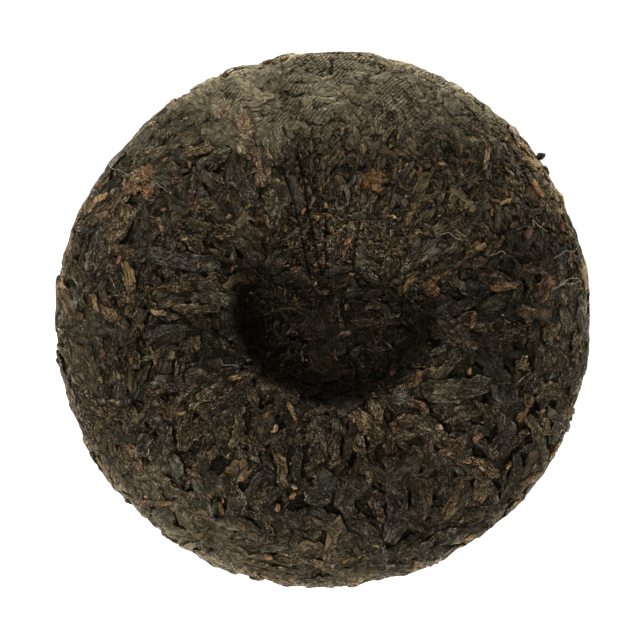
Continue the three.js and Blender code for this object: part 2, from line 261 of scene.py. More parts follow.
def fineness(points):
    x, y, z = points[..., 0], points[..., 1], points[..., 2]
    inward = np.minimum(x - crumbCorner["x"], y - crumbCorner["y"]) / crumbCorner["blur"]
    patches = 0.5 * swirl(points, crumbCorner["patchSize"], 3)
    return smooth(0.5 + inward + patches) * smooth((z - crumbCorner["low"]) / crumbCorner["lowBlur"])


def inHollow(points):
    reach = np.hypot(points[:, 0] - dimple["x"], points[:, 1] - dimple["y"])
    inward = (dimple["mouth"] - dimple["inside"] - reach) / dimple["insideBlur"]
    return smooth(inward) * isTop(points)


# Where whole leaves are few, from 0 to 1: among crumbs and in the hollow.
def fineOrDeep(points):
    return np.maximum(fineness(points), inHollow(points))


# Pale film left by the cloth and by dust, with a painted sheen of light on the shoulders, from 0
# to 1: mostly at the back. Each spot has x, y and size in millimetres, and its strength.
filmAndSheenSpots = [
    (-32, 88, 26, 1.0), (2, 96, 34, 1.0), (34, 94, 28, 1.0), (-18, 79, 16, 0.8), (-38, -87, 16, 0.4),
    (-62, 72, 20, 0.25), (58, 80, 18, 0.5), (-64, -70, 26, 0.3), (-94, -6, 22, 0.1),
    (0, -98, 30, 0.15),
]


# How strong each of some round spots is at a place. A spot fades out round its size.
spotEdge = 1.25


def spotShares(points, spots):
    for x, y, size, strength in spots:
        reach = np.hypot(points[..., 0] - x, points[..., 1] - y)
        yield strength * smooth(spotEdge - reach / size)


def filmAndSheenAt(points):
    filmAndSheen = np.zeros(points.shape[:-1])
    for share in spotShares(points, filmAndSheenSpots):
        filmAndSheen = np.maximum(filmAndSheen, share)
    return filmAndSheen


# Painted shade in the knot's hollow, from 0 to 1: most just inside its steep side, where its wall
# shades it, and where it is deep. At 1 the leaf is painted darker by these stops of brightness.
hollow = {"stops": 2.9, "lipBlur": 4.0, "bandFrom": 7.0, "bandTo": 21.0, "band": 0.76,
          "deep": 0.5, "rampFrom": 6.5, "rampTo": 15.5}


def hollowPaintedShade(points):
    fromX, fromY = points[..., 0] - dimple["x"], points[..., 1] - dimple["y"]
    inward = dimple["mouth"] - np.hypot(fromX, fromY)
    band = smooth(inward / hollow["lipBlur"] + 0.5)
    band = band * (1 - climb(inward, hollow["bandFrom"], hollow["bandTo"]))
    pressed = pressedDepth(points[..., 0], points[..., 1])
    deep = hollow["deep"] * climb(pressed, hollow["rampFrom"], hollow["rampTo"])
    dark = np.maximum(hollow["band"] * band * steepShare(np.arctan2(fromY, fromX)), deep)
    return np.where(points[..., 2] > cakeForm["waist"] / 2, dark, 0)


# Painted shadows of thin grooves that folds of the cloth pressed into the hollow and the back, as
# pixels across and down that each one passes. They are dark lines only: the skin is not pressed in
# along them.
shadedGrooveLines = [
    [(297, 150), (303, 180), (307, 205), (313, 235), (318, 262), (322, 274)],
    [(282, 168), (290, 190), (296, 210), (301, 233), (305, 252), (309, 271)],
    [(326, 210), (326, 235), (326, 262)], [(359, 222), (357, 238), (354, 252), (353, 264)],
    [(330, 333), (325, 343), (315, 354)], [(330, 333), (326, 346), (324, 356)],
    [(330, 333), (335, 345), (339, 353)], [(330, 333), (340, 337), (350, 339)],
    [(330, 333), (329, 322), (331, 312)], [(329, 334), (320, 331), (308, 330)],
    [(332, 60), (332, 70), (331, 77)], [(285, 93), (296, 99), (304, 95)],
]
grooveShadow = {"half": 0.5, "edge": 1.3}


def grooveShadowAt(points):
    # How strong the painted groove shadow is at each point.
    depth = np.zeros(len(points))
    for path in shadedGrooveLines:
        stops = [np.array(photoPlace(pixelX, pixelY)) for pixelX, pixelY in path]
        for start, end in zip(stops[:-1], stops[1:]):
            ahead = end - start
            fromStart = points[:, :2] - start
            share = np.clip((fromStart @ ahead) / (ahead @ ahead), 0, 1)
            gap = np.hypot(*(fromStart - share[:, None] * ahead).T)
            depth = np.maximum(depth, smooth(grooveShadow["edge"] - gap / grooveShadow["half"]))
    return depth * isTop(points)


# Where the leaf is darker than elsewhere, by stops of brightness: right of the middle, in front
# and left of the knot's hollow. Below zero it is paler. The spots are partly the leaf's own tone and
# partly painted light and shade.
toneAndPaintedLightSpots = [
    (62, 0, 24, 1.25), (74, 25, 15, 0.9), (76, 2, 20, 0.3), (65, -20, 20, 0.9), (86, -31, 11, 0.6),
    (98, -14, 13, 0.7), (66, -42, 20, 0.35), (72, -58, 18, 0.4), (44, -72, 24, 0.35),
    (16, -60, 28, 0.85), (-18, -38, 14, 0.45), (-42, -44, 18, 0.45), (-36, -10, 17, 1.95),
    (-66, -4, 24, 0.3), (-82, -18, 12, 0.25), (-48, 26, 24, 0.5), (-26, 24, 10, 0.75),
    (-66, -58, 16, -0.4), (-68, 50, 15, -0.85), (-20, 75, 15, -0.4), (-14, 58, 14, -0.3),
    (22, 59, 20, -0.65), (4, 32, 20, -1.2), (30, 26, 18, -0.35), (44, 40, 18, -0.6),
    (78, 56, 24, -1.1), (97, 16, 9, -0.6),
]
# Painted light: leaf is painted paler toward the rim, as if lit from the sides, by these stops over
# this many millimetres, but not low on its side. The spots fade out down the side.
rimPaintedLight = {"stops": 1.75, "reach": 5.5, "low": 4.0, "lowBlur": 6.0}
sideFade = 3.0


# Stops from the spots, partly tone and partly painted light and shade, and the painted rim light.
def stopsAt(points):
    x, y, z = points.T
    stops = np.zeros(len(points))
    for share in spotShares(points, toneAndPaintedLightSpots):
        stops -= share
    stops = stops * smooth((z - cakeForm["waist"]) / sideFade + 1)
    inward = np.maximum(outlineRadius(x, y) - np.hypot(x, y), 0)
    # The painted rim light, in stops.
    toneAndPaintedLight = rimPaintedLight["stops"] * smooth(1 - inward / rimPaintedLight["reach"])
    return stops + toneAndPaintedLight * smooth((z - rimPaintedLight["low"]) / rimPaintedLight["lowBlur"])


# Thin bands of the undimpled skin, from the top middle to the underside, with areas added up.
skinTurns = 161


def skinBands():
    turns = np.linspace(0, math.pi, skinTurns)
    over = turns <= math.pi / 2
    squareness = np.where(over, cakeForm["topSquareness"], cakeForm["underSquareness"])
    tall = np.where(over, cakeForm["topRise"], cakeForm["underDrop"])
    radius = cakeForm["radius"] * np.maximum(np.sin(turns), 0) ** (2 / squareness)
    height = cakeForm["waist"] + tall * np.cos(turns)
    width = np.hypot(np.diff(radius), np.diff(height))
    area = np.concatenate([[0], np.cumsum(math.pi * (radius[1:] + radius[:-1]) * width)])
    return radius, height, area


bandRadius, bandHeight, bandArea = skinBands()


# Where a place of the bands lies, with the outline's swells and the dimple.
def pressedPlace(radius, height, angle):
    x, y = np.cos(angle), np.sin(angle)
    reach = radius * outlineRadius(x, y) / cakeForm["radius"]
    x, y = x * reach, y * reach
    height = height - np.where(height > cakeForm["waist"], pressedDepth(x, y), 0)
    return np.stack([x, y, height], -1)


# Spreads places evenly over the skin, and keeps them by a share that keepShare gives. With these
# steps each new place falls into the widest gap.
evenSteps = (0.7548776662, 0.5698402910)


def spreadPlaces(count, draw, keepShare):
    kept = []
    found = 0
    start = draw.random(2)
    turn = 0
    while found < count:
        index = np.arange(turn, turn + 2 * count)
        turn += 2 * count
        area = bandArea[-1] * ((start[0] + evenSteps[0] * index) % 1)
        angle = 2 * math.pi * ((start[1] + evenSteps[1] * index) % 1)
        radius, height = [np.interp(area, bandArea, band) for band in (bandRadius, bandHeight)]
        points = pressedPlace(radius, height, angle)
        points = points[draw.random(len(points)) < keepShare(points)]
        kept.append(points)
        found += len(points)
    return np.concatenate(kept)[:count]


# Leaves run out from the knot near the dimple, along the rim at the edge, and with a slow
# drift elsewhere.
flow = {"radialFrom": 26.0, "radialTo": 68.0, "radialBlur": 14.0, "radialShare": 0.6,
        "wander": 18 * degree, "rimShare": 0.72, "rimWander": 14 * degree,
        "driftSize": 24.0, "driftTurn": 4.5, "driftWander": 40 * degree}


def layDirections(points, draw):
    count = len(points)
    x, y = points.T[:2]
    _, normal = settle(points)
    level = unit(np.stack([-y, x, np.zeros(count)], -1))
    aside = np.cross(normal, level)
    outwards = np.arctan2(y - knot["y"], x - knot["x"])
    drift = flow["driftTurn"] * swirl(points, flow["driftSize"], 5)
    drift = drift + flow["driftWander"] * draw.normal(size=count)
    reach = np.hypot(x - dimple["x"], y - dimple["y"])
    share = smooth((flow["radialTo"] - reach) / flow["radialBlur"])
    share = flow["radialShare"] * share * smooth((reach - flow["radialFrom"]) / flow["radialBlur"])
    isRadial = (draw.random(count) < share) & isTop(points)
    heading = np.where(isRadial, outwards + flow["wander"] * draw.normal(size=count), drift)
    flat = np.stack([np.cos(heading), np.sin(heading), np.zeros(count)], -1)
    around = flow["rimWander"] * draw.normal(size=count)
    isRound = draw.random(count) < flow["rimShare"]
    around = np.where(isRound, around, 2 * math.pi * draw.random(count))
    rim = level * np.cos(around)[:, None] + aside * np.sin(around)[:, None]
    atRim = (np.hypot(x, y) > cakeForm["shoulder"])[:, None]
    return np.where(atRim, rim, flat)


def linear(red, green, blue):
    value = np.array([red, green, blue]) / 255
    return np.where(value <= 0.04045, value / 12.92, ((value + 0.055) / 1.055) ** 2.4)


# The colours of the leaf as they look in the photo, from 0 to 255.
leafTones = {
    "oliveBrown": linear(62, 54, 39), "brown": linear(74, 60, 43), "slate": linear(54, 52, 48),
    "nearBlack": linear(34, 30, 23), "greenGrey": linear(58, 56, 44), "redBrown": linear(80, 58, 44),
    "tan": linear(104, 86, 60), "violetGrey": linear(54, 48, 43), "stone": linear(90, 81, 62),
    "gold": linear(182, 151, 107), "orange": linear(148, 113, 76), "pink": linear(138, 104, 84),
    "yellow": linear(158, 140, 96), "cream": linear(172, 156, 124), "rust": linear(102, 74, 55),
    "flake": linear(148, 113, 82), "paleFlake": linear(160, 138, 109), "caramel": linear(104, 76, 46),
}

# How rough and fibrous a leaf of each tone is; the dark ones are smooth. Of the drawn leaves, the
# plain share is smoother than the rest. Those listed one by one are a little smoother than most.
toneGrit = {"slate": 0.6, "nearBlack": 0.55, "greenGrey": 0.75, "violetGrey": 0.6}
plainShare = 0.48
gritSpan = {"plain": (0.15, 0.5), "rough": (0.8, 1.5), "named": 0.8}


def drawTones(mix, count, draw):
    names = list(mix)
    shares = np.array([mix[name] for name in names], float)
    picks = draw.choice(len(names), size=count, p=shares / shares.sum())
    grit = np.array([toneGrit.get(name, 1.0) for name in names])[picks]
    isPlain = draw.random(count) < plainShare
    plain = draw.uniform(*gritSpan["plain"], count)
    grit = grit * np.where(isPlain, plain, draw.uniform(*gritSpan["rough"], count))
    return np.stack([leafTones[name] for name in names])[picks], grit


# The traits that a leaf has besides its place and heading: its bend in degrees, and the others in
# millimetres or as plain shares. A piece's dictionary gives a lowest and highest value for each.
# A leaf's length and width both follow its size, by the size share.
sizeShare = 0.6
traitNames = ["length", "width", "bend", "level", "crown", "folds", "foldDepth", "foldDrift",
              "lean", "dive", "blunt", "skew", "crumple", "shear"]


def drawLeaves(kind, draw):
    leaves = {}
    count = kind["count"]
    size = draw.random(count) ** kind["mostlySmall"]
    for name in traitNames:
        low, high = kind[name]
        share = draw.random(count)
        if name in ("length", "width"):
            share = sizeShare * size + (1 - sizeShare) * share
        leaves[name] = low + (high - low) * share
    leaves["place"] = spreadPlaces(count, draw, kind["keepShare"])
    leaves["heading"] = layDirections(leaves["place"], draw)
    leaves["bend"] = leaves["bend"] * degree
    leaves["tone"], leaves["grit"] = drawTones(kind["tones"], count, draw)
    spread = np.exp(kind["toneSpread"] * draw.normal(size=count))
    leaves["tone"] = leaves["tone"] * spread[:, None]
    leaves["level"] = leaves["level"] - kind["fillDepth"] * (1 - fineOrDeep(leaves["place"]))
    return leaves


# Adds listed leaves, each a dictionary, to drawn ones.
def addNamed(leaves, named, kind):
    rows = []
    for entry in named:
        row = {name: 0.5 * (kind[name][0] + kind[name][1]) for name in traitNames}
        row.update(entry)
        angle = row["heading"] * degree
        row["bend"] = row["bend"] * degree
        height = topHeight(np.array([row["x"]]), np.array([row["y"]]))
        row["place"] = np.array([row["x"], row["y"], height[0]])
        row["heading"] = np.array([math.cos(angle), math.sin(angle), 0.0])
        row["grit"] = gritSpan["named"] * toneGrit.get(row["tone"], 1.0)
        row["tone"] = leafTones[row["tone"]] * row.get("shade", 1.0)
        rows.append(row)
    joined = {}
    for name in leaves:
        joined[name] = np.concatenate([leaves[name], np.array([row[name] for row in rows])])
    return joined


def walkSkin(place, normal, heading, stride, turn, stops):
    found = []
    for _ in range(stops):
        side = np.cross(normal, heading)
        heading = heading * np.cos(turn)[:, None] + side * np.sin(turn)[:, None]
        place, normal = settle(place + heading * stride[:, None], 2)
        heading = unit(heading - normal * (heading * normal).sum(-1, keepdims=True))
        found.append((place, normal, heading))
    return found


# Keeps heights under a cap, as the cloth pressed them.
def pressUnder(height, cap, softness=0.35):
    over = (height - cap + softness) / softness
    return np.where(over > 0, cap - softness + softness * np.tanh(over), height)


# How leaves of every kind are shaped, in millimetres and plain shares. Loose is how much less the
# edges dive in some patches, and calm how much less the leaves at the rim are warped. The edge
# highlight is a painted highlight, in stops, on a band inside each leaf's edge.
leafShape = {
    "sideWaves": 1.2, "crownPower": 2.2, "crownFull": 1.4, "foldWander": 0.22, "foldSize": 3.2,
    "wrinkleSize": 1.7, "wrinkleLong": 0.55, "wrinkles": 0.8, "creases": 2.4, "creaseSize": 3.0,
    "tip": 0.1, "loose": 0.55, "looseMiddle": 0.55, "looseEdge": 1.1, "edgeHighlightPatches": 1.3,
    "edgeHighlightStops": 1.15, "patchSize": 5.0, "warpSize": 3.6, "rimFrom": 0.9, "rimBlur": 0.08,
    "calm": 0.4, "edgeFrom": 0.7, "keel": 0.6, "noiseSpan": 900,
}


# Lays leaves along the skin. A leaf is a closed lump of rows and columns: its upper side is
# crowned, folded and crumpled, its edges dive between its neighbours, and below it has a keel.
# Columns lie evenly over its flat, and one more lies at each edge. A band just inside its edges
# gets a painted highlight, and how far the edges dive also sets the painted shade in the gaps.
def growLeaves(leaves, kind, draw):
    rows, columns, flatTo, shape = kind["rows"], kind["columns"], kind["flatTo"], leafShape
    count = len(leaves["length"])
    half = (rows + 1) // 2
    stride = leaves["length"] / (rows + 1)
    place, normal = settle(leaves["place"])
    ahead = leaves["heading"]
    ahead = unit(ahead - normal * (ahead * normal).sum(-1, keepdims=True))
    turn = leaves["bend"] / (rows + 1)
    front = walkSkin(place, normal, ahead, stride, turn, half)
    back = walkSkin(place, normal, -ahead, stride, -turn, half)
    stops = [(p, n, -h) for p, n, h in reversed(back)] + [(place, normal, ahead)] + front
    spine, up, along = [np.stack(parts, 1) for parts in zip(*stops)]
    across = np.cross(up, along)

    trait = {name: leaves[name][:, None, None] for name in traitNames}
    s = np.linspace(0, 1, rows + 2)[None, 1:-1, None]
    v = np.concatenate([[-1], np.linspace(-flatTo, flatTo, columns - 2), [1]])[None, None, :]
    profile = np.sin(math.pi * s ** trait["skew"]) ** trait["blunt"]
    ragged = draw.uniform(-1, 1, (count, rows, 2)) * kind["ragged"]
    edge = 1 + np.where(v < 0, ragged[:, :, :1], ragged[:, :, 1:])
    phase = draw.random((count, 1, 1))
    wave = np.sin(2 * math.pi * (shape["sideWaves"] * s + phase))
    aside = 0.5 * trait["width"] * profile * edge * v + kind["wiggle"] * trait["width"] * wave
    slip = trait["shear"] * trait["width"] * v
    base = spine[:, 1:-1, None] + across[:, 1:-1, None] * aside[..., None]
    base, baseUp = settle(base + along[:, 1:-1, None] * slip[..., None], 2)

    # leaf coordinates in millimetres, with a step aside in noise space for each leaf
    offset = draw.random((count, 1, 1, 1)) * shape["noiseSpan"]
    length = (s - 0.5) * trait["length"] + slip
    local = np.stack(np.broadcast_arrays(length, aside, 0 * aside), -1) + offset
    fullness = np.minimum(1, shape["crownFull"] * profile)
    crown = trait["crown"] * (1 - np.abs(v) ** shape["crownPower"]) * fullness
    foldPhase = draw.random((count, 1, 1))
    foldLine = 0.5 * trait["folds"] * v + foldPhase + trait["foldDrift"] * (s - 0.5)
    foldLine = foldLine + shape["foldWander"] * swirl(local, shape["foldSize"], 6)
    fold = trait["foldDepth"] * (1 - 2 * np.abs(np.sin(math.pi * foldLine)))
    wrinkled = swirl(local * np.array([1.0, shape["wrinkleLong"], 1.0]), shape["wrinkleSize"], 7)
    crumple = 1 - shape["creases"] * np.abs(swirl(local, shape["creaseSize"], 8))
    crumple = trait["crumple"] * (crumple + shape["wrinkles"] * wrinkled)
    height = trait["level"] + crown + fold + trait["lean"] * v
    height = pressUnder(height, kind["cap"]) + crumple
    tipShare = smooth((shape["tip"] - np.minimum(s, 1 - s)) / shape["tip"])
    rim = climb(np.abs(v), flatTo, 1)
    patches = swirl(base, shape["patchSize"], 14)
    patches = smooth(shape["looseMiddle"] + shape["looseEdge"] * patches)
    sunk = np.maximum(rim, tipShare) * (1 - shape["loose"] + shape["loose"] * patches)
    height = height - trait["dive"] * sunk
    # Painted highlight on a band just inside the leaf's edge, in patches.
    nearEdge = smooth((np.abs(v) / flatTo - shape["edgeFrom"]) / (1 - shape["edgeFrom"]))
    patches = smooth(0.5 + shape["edgeHighlightPatches"] * swirl(base, shape["patchSize"], 16))
    pale = shape["edgeHighlightStops"] * nearEdge * (1 - rim) * (1 - tipShare) * patches

    outward = outwardShare(base[..., 0], base[..., 1])
    atRim = smooth((outward - shape["rimFrom"]) / shape["rimBlur"])
    warp = np.stack([swirl(local, shape["warpSize"], seed) for seed in (9, 10, 11)], -1)
    warp = warp * kind["warp"] * (1 - shape["calm"] * atRim)[..., None]
    tops = base + baseUp * height[..., None] + warp
    tipDrop = leaves["level"] - leaves["dive"]
    keel = spine[:, 1:-1] + up[:, 1:-1] * (tipDrop - shape["keel"])[:, None, None]
    tail, head = [spine[:, end] + up[:, end] * tipDrop[:, None] for end in (0, -1)]
    body = np.concatenate([tops, keel[:, :, None]], 2).reshape(count, rows * (columns + 1), 3)
    flat = np.concatenate([tail[:, None], body, head[:, None]], 1).reshape(-1, 3)
    points = keepInside(flat + settle(flat, 1)[1] * heave(flat)[:, None])

    def spreadOver(value, tipValue, keelValue):
        value = np.broadcast_to(value, (count, rows, columns))
        keels = np.broadcast_to(keelValue, (count, rows, 1))
        flat = np.concatenate([value, keels], 2).reshape(count, -1)
        tips = np.broadcast_to(tipValue, (count, 1))
        return np.concatenate([tips, flat, tips], 1)

    placeAlong = spreadOver(length + offset[..., 0], offset[:, 0, 0], offset[..., 0])
    placeAcross = spreadOver(aside, 0.0, 0.0)
    placeLeaf = np.broadcast_to(offset[:, 0, 0], placeAcross.shape)
    size = placeLeaf.shape[1]
    triangles = leafTriangles(rows, columns)[None] + (np.arange(count) * size)[:, None, None]
    return {
        "points": points, "sunk": spreadOver(sunk, 1.0, 1.0).reshape(-1),
        "pale": spreadOver(pale, 0.0, 0.0).reshape(-1), "triangles": triangles.reshape(-1, 3),
        "tone": np.repeat(leaves["tone"], size, axis=0), "grit": np.repeat(leaves["grit"], size),
        "leafPlace": np.stack([placeAlong, placeAcross, placeLeaf], -1).reshape(-1, 3),
        "corners": sheetCorners(leafCorners(rows, columns), count, kind["cellStretch"]),
    }


# The triangles of one leaf: vertex 0 is its tail, then each row's columns and keel, then its head.
def leafTriangles(rows, columns):
    width = columns + 1
    head = rows * width + 1
    last = 1 + (rows - 1) * width
    faces = []
    for row in range(rows - 1):
        near, far = 1 + row * width, 1 + (row + 1) * width
        for c in range(columns - 1):
            faces += [(near + c, far + c + 1, near + c + 1), (near + c, far + c, far + c + 1)]
        keel, farKeel = near + columns, far + columns
        faces += [(near, keel, farKeel), (near, farKeel, far)]
        faces += [(keel, near + columns - 1, far + columns - 1), (keel, far + columns - 1, farKeel)]
    for c in range(columns - 1):
        faces += [(0, 1 + c, 2 + c), (head, last + c + 1, last + c)]
    faces += [(0, 1 + columns, 1), (0, columns, 1 + columns)]
    faces += [(head, last, last + columns), (head, last + columns, last + columns - 1)]
    return np.array(faces)


# Where each triangle's corners lie in the leaf's own cell of the texture sheet: the upper side
# takes the lower part of the cell, and the two faces of the keel lie above it.
leafCell = {"top": 0.7, "keel": 0.87, "underFrom": 0.76, "underHigh": 0.22, "margin": 0.03}


def leafCorners(rows, columns):
    width = columns + 1
    faces = leafTriangles(rows, columns)
    place = np.zeros((rows * width + 2, 2))
    for row in range(rows):
        start = 1 + row * width
        place[start:start + columns, 0] = (row + 1) / (rows + 1)
        place[start:start + columns, 1] = leafCell["top"] * np.arange(columns) / (columns - 1)
    place[0] = (0.0, leafCell["top"] / 2)
    place[-1] = (1.0, leafCell["top"] / 2)
    corners = place[faces]
    isKeel = (faces % width == 0) & (faces > 0) & (faces < rows * width + 1)
    under = isKeel.any(1)
    below = corners[under]
    below[..., 1] = leafCell["underFrom"] + leafCell["underHigh"] * below[..., 1] / leafCell["top"]
    rowShare = ((faces[under] - 1) // width + 1) / (rows + 1)
    below[..., 0] = np.where(isKeel[under], rowShare, below[..., 0])
    below[..., 1] = np.where(isKeel[under], leafCell["keel"], below[..., 1])
    corners[under] = below
    return leafCell["margin"] + (1 - 2 * leafCell["margin"]) * corners


# Puts a mesh into the scene as a piece of the cake that rides with it.
def makePiece(name, points, triangles, corners, values, material):
    mesh = bpy.data.meshes.new(name)
    mesh.vertices.add(len(points))
    mesh.vertices.foreach_set("co", (points * mm).astype(np.float32).ravel())
    mesh.loops.add(triangles.size)
    mesh.loops.foreach_set("vertex_index", triangles.astype(np.int32).ravel())
    mesh.polygons.add(len(triangles))
    mesh.polygons.foreach_set("loop_start", np.arange(0, triangles.size, 3, dtype=np.int32))
    mesh.polygons.foreach_set("use_smooth", np.full(len(triangles), True))
    mesh.update(calc_edges=True)
    layer = mesh.uv_layers.new(name="OFBake")
    layer.data.foreach_set("uv", corners.astype(np.float32).ravel())
    kinds = {1: ("FLOAT", "value"), 3: ("FLOAT_VECTOR", "vector"), 4: ("FLOAT_COLOR", "color")}
    for label, value in values.items():
        kind, field = kinds[value.size // len(points)]
        attribute = mesh.attributes.new(label, kind, "POINT")
        attribute.data.foreach_set(field, value.astype(np.float32).ravel())
    mesh.materials.append(material)
    piece = bpy.data.objects.new(name, mesh)
    bpy.context.scene.collection.objects.link(piece)
    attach(piece, "root")
    print(name, "triangles", len(triangles))
    return piece


# Keeps points inside the cake's box and above what it rests on. Points that would lie lower are
# squeezed together, and no two end on one plane.
boxFit = {"margin": 0.1, "shallow": 0.8, "squeeze": 1.4}


def keepInside(points):
    low = np.array(cadBox[0]) / mm + boxFit["margin"]
    high = np.array(cadBox[1]) / mm - boxFit["margin"]
    shallow, squeeze = boxFit["shallow"], boxFit["squeeze"]
    thick = shallow - low[2]
    under = np.minimum(points[..., 2] - shallow, 0)
    points[..., 2] = np.maximum(points[..., 2], shallow) - thick * (1 - np.exp(under / thick))
    for axis in (0, 1):
        for side, limit in ((1, high[axis]), (-1, -low[axis])):
            past = side * points[..., axis] - limit + squeeze
            over = np.where(past > 0, past - squeeze * np.tanh(past / squeeze), 0)
            points[..., axis] -= side * over
    return np.clip(points, low, high)


# Gives each leaf its own cell of the texture sheet.
def sheetCorners(corners, count, cellStretch):
    cellsWide = max(1, math.ceil(math.sqrt(count / cellStretch)))
    cellsHigh = math.ceil(count / cellsWide)
    index = np.arange(count)
    cell = np.stack([index % cellsWide, index // cellsWide], -1)
    corners = (corners[None] + cell[:, None, None]) / np.array([cellsWide, cellsHigh])
    return corners.reshape(-1, 2)


# Height of the topmost leaf over a fine grid of cells, evened out over a few millimetres.
# A leaf that stands above it gets a painted highlight, and one that lies below it painted shade.
reliefMap = {"cell": 0.45, "half": 103.0, "blur": 3, "depth": 0.56, "rim": 0.985, "rimBlur": 0.07,
             "below": 3.0, "lowest": -1.4, "highest": 1.0, "steepness": 2}


def cellOf(points):
    cells = int(2 * reliefMap["half"] / reliefMap["cell"])
    spot = ((points[:, :2] + reliefMap["half"]) / reliefMap["cell"]).astype(int)
    spot = np.clip(spot, 0, cells - 1)
    return spot[:, 0], spot[:, 1]


def blurOver(values):
    reach = reliefMap["blur"]
    for axis in (0, 1, 0, 1):
        values = sum(np.roll(values, step, axis) for step in range(-reach, reach + 1))
    return values / (2 * reach + 1) ** 4


def mapTop(grownParts):
    cells = int(2 * reliefMap["half"] / reliefMap["cell"])
    top = np.zeros((cells, cells))
    for grown in grownParts:
        middles = grown["points"][grown["triangles"]].mean(1)
        for cloud in (grown["points"], middles):
            cloud = cloud[cloud[:, 2] > cakeForm["waist"] - reliefMap["below"]]
            np.maximum.at(top, cellOf(cloud), cloud[:, 2])
    steps = [(a, b) for a in (-1, 0, 1) for b in (-1, 0, 1)]
    spread = np.maximum.reduce([np.roll(top, step, (0, 1)) for step in steps])
    top = np.where(top > 0, top, spread)
    known = (top > 0) * 1.0
    evened = blurOver(top) / np.maximum(blurOver(known), 0.001)
    slopes = np.gradient(evened, reliefMap["cell"])
    return evened, 1 / (1 + reliefMap["steepness"] * (slopes[0] ** 2 + slopes[1] ** 2))


def reliefPaintedShading(points, topMap):
    evened, flatness = topMap
    spot = cellOf(points)
    outward = outwardShare(points[:, 0], points[:, 1])
    weight = smooth((reliefMap["rim"] - outward) / reliefMap["rimBlur"]) * flatness[spot]
    weight = weight * isTop(points)
    paintedReliefStops = (points[:, 2] - evened[spot]) / reliefMap["depth"]
    return np.clip(paintedReliefStops, reliefMap["lowest"], reliefMap["highest"]) * weight


# The film and crumbs even out the painted light and shade and the grain; leaf that is made darker
# has stronger grain. Leaf painted paler grows little brighter than a set brightness, given in stops.
evenedBy = {"filmGaps": 0.55, "filmTone": 0.58, "fineTone": 0.58, "filmGrit": 0.45, "fineGrit": 0.58,
            "darkGrit": 0.7, "grit": 1.14, "grooveShadow": 0.6, "brightest": -2.2, "overBright": 0.75,
            "darkest": 2.5}
# The shares of red, green and blue in how bright a colour looks.
seenShares = np.array([0.21, 0.72, 0.07])


def finishPiece(name, grown, material, topMap):
    points = grown["points"]
    filmAndSheen, fine = filmAndSheenAt(points), fineness(points) * (1 - inHollow(points))
    # The hollow's painted shade is taken off the stops.
    stops = stopsAt(points) - hollow["stops"] * hollowPaintedShade(points)
    # Painted shade in the gaps where leaf edges dive, and along the grooves; the film lessens it.
    lit = 1 - grown["sunk"] * (1 - evenedBy["filmGaps"] * filmAndSheen)
    lit = lit * (1 - evenedBy["grooveShadow"] * grooveShadowAt(points))
    kept = 1 - np.maximum(evenedBy["filmTone"] * filmAndSheen, evenedBy["fineTone"] * fine)
    grit = 1 - np.maximum(evenedBy["filmGrit"] * filmAndSheen, evenedBy["fineGrit"] * fine)
    grit = evenedBy["grit"] * grit * (1 + evenedBy["darkGrit"] * np.clip(-stops, 0, evenedBy["darkest"]))
    # Painted light and shade in stops: relief and edge highlights, the spots, rim light and hollow shade.
    pale = (reliefPaintedShading(points, topMap) + grown["pale"]) * kept + stops
    bright = np.log2(np.maximum(grown["tone"] @ seenShares, 0.001)) + pale
    over = np.clip(bright - evenedBy["brightest"], 0, np.maximum(pale, 0))
    values = {
        "tone": np.concatenate([grown["tone"], np.ones((len(points), 1))], 1),
        "sunk": 1 - lit, "filmAndSheen": filmAndSheen, "grit": grown["grit"] * grit,
        "pale": pale - evenedBy["overBright"] * over, "leafPlace": grown["leafPlace"],
    }
    return makePiece(name, points, grown["triangles"], grown["corners"], values, material)


# Shader building. An input is given as a value, or as another node's socket to join it to.
def feed(tree, node, inputs):
    for label, value in inputs.items():
        if isinstance(value, bpy.types.NodeSocket):
            tree.links.new(value, node.inputs[label])
        else:
            node.inputs[label].default_value = value


def addNode(tree, kind, inputs=None, **settings):
    made = tree.nodes.new(kind)
    for label, value in settings.items():
        setattr(made, label, value)
    feed(tree, made, inputs or {})
    return made


def calculate(tree, operation, *values, clamp=False):
    settings = {"operation": operation, "use_clamp": clamp}
    return addNode(tree, "ShaderNodeMath", dict(enumerate(values)), **settings).outputs[0]


def multiply(tree, first, *others):
    for value in others:
        first = calculate(tree, "MULTIPLY", first, value)
    return first


# The outcome of a sum on colours or places, each given as a socket or as three values.
def combine(tree, operation, *values, output=0):
    made = addNode(tree, "ShaderNodeVectorMath", dict(enumerate(values)), operation=operation)
    return made.outputs[output]


def scaled(tree, colour, amount):
    inputs = {0: colour, "Scale": amount}
    return addNode(tree, "ShaderNodeVectorMath", inputs, operation="SCALE").outputs[0]


def blend(tree, share, first, second):
    inputs = {0: share, 6: first, 7: second}
    return addNode(tree, "ShaderNodeMix", inputs, data_type="RGBA").outputs[2]


def noise(tree, place, scale, detail=2.0, roughness=0.55, distortion=0.0):
    inputs = {"Vector": place, "Scale": scale, "Detail": detail, "Roughness": roughness,
              "Distortion": distortion}
    return addNode(tree, "ShaderNodeTexNoise", inputs).outputs[0]


def remap(tree, value, *span):
    inputs = dict(enumerate((value, *span)))
    return addNode(tree, "ShaderNodeMapRange", inputs, interpolation_type="SMOOTHSTEP").outputs[0]


def newGroup(name, inputs, outputs):
    group = bpy.data.node_groups.new(name, "ShaderNodeTree")
    for label, value in inputs.items():
        kind = "NodeSocketVector" if value is None else "NodeSocketFloat"
        socket = group.interface.new_socket(name=label, in_out="INPUT", socket_type=kind)
        if value is not None:
            socket.default_value = value
    for label in outputs:
        group.interface.new_socket(name=label, in_out="OUTPUT", socket_type="NodeSocketFloat")
    return group, group.nodes.new("NodeGroupInput").outputs, group.nodes.new("NodeGroupOutput")


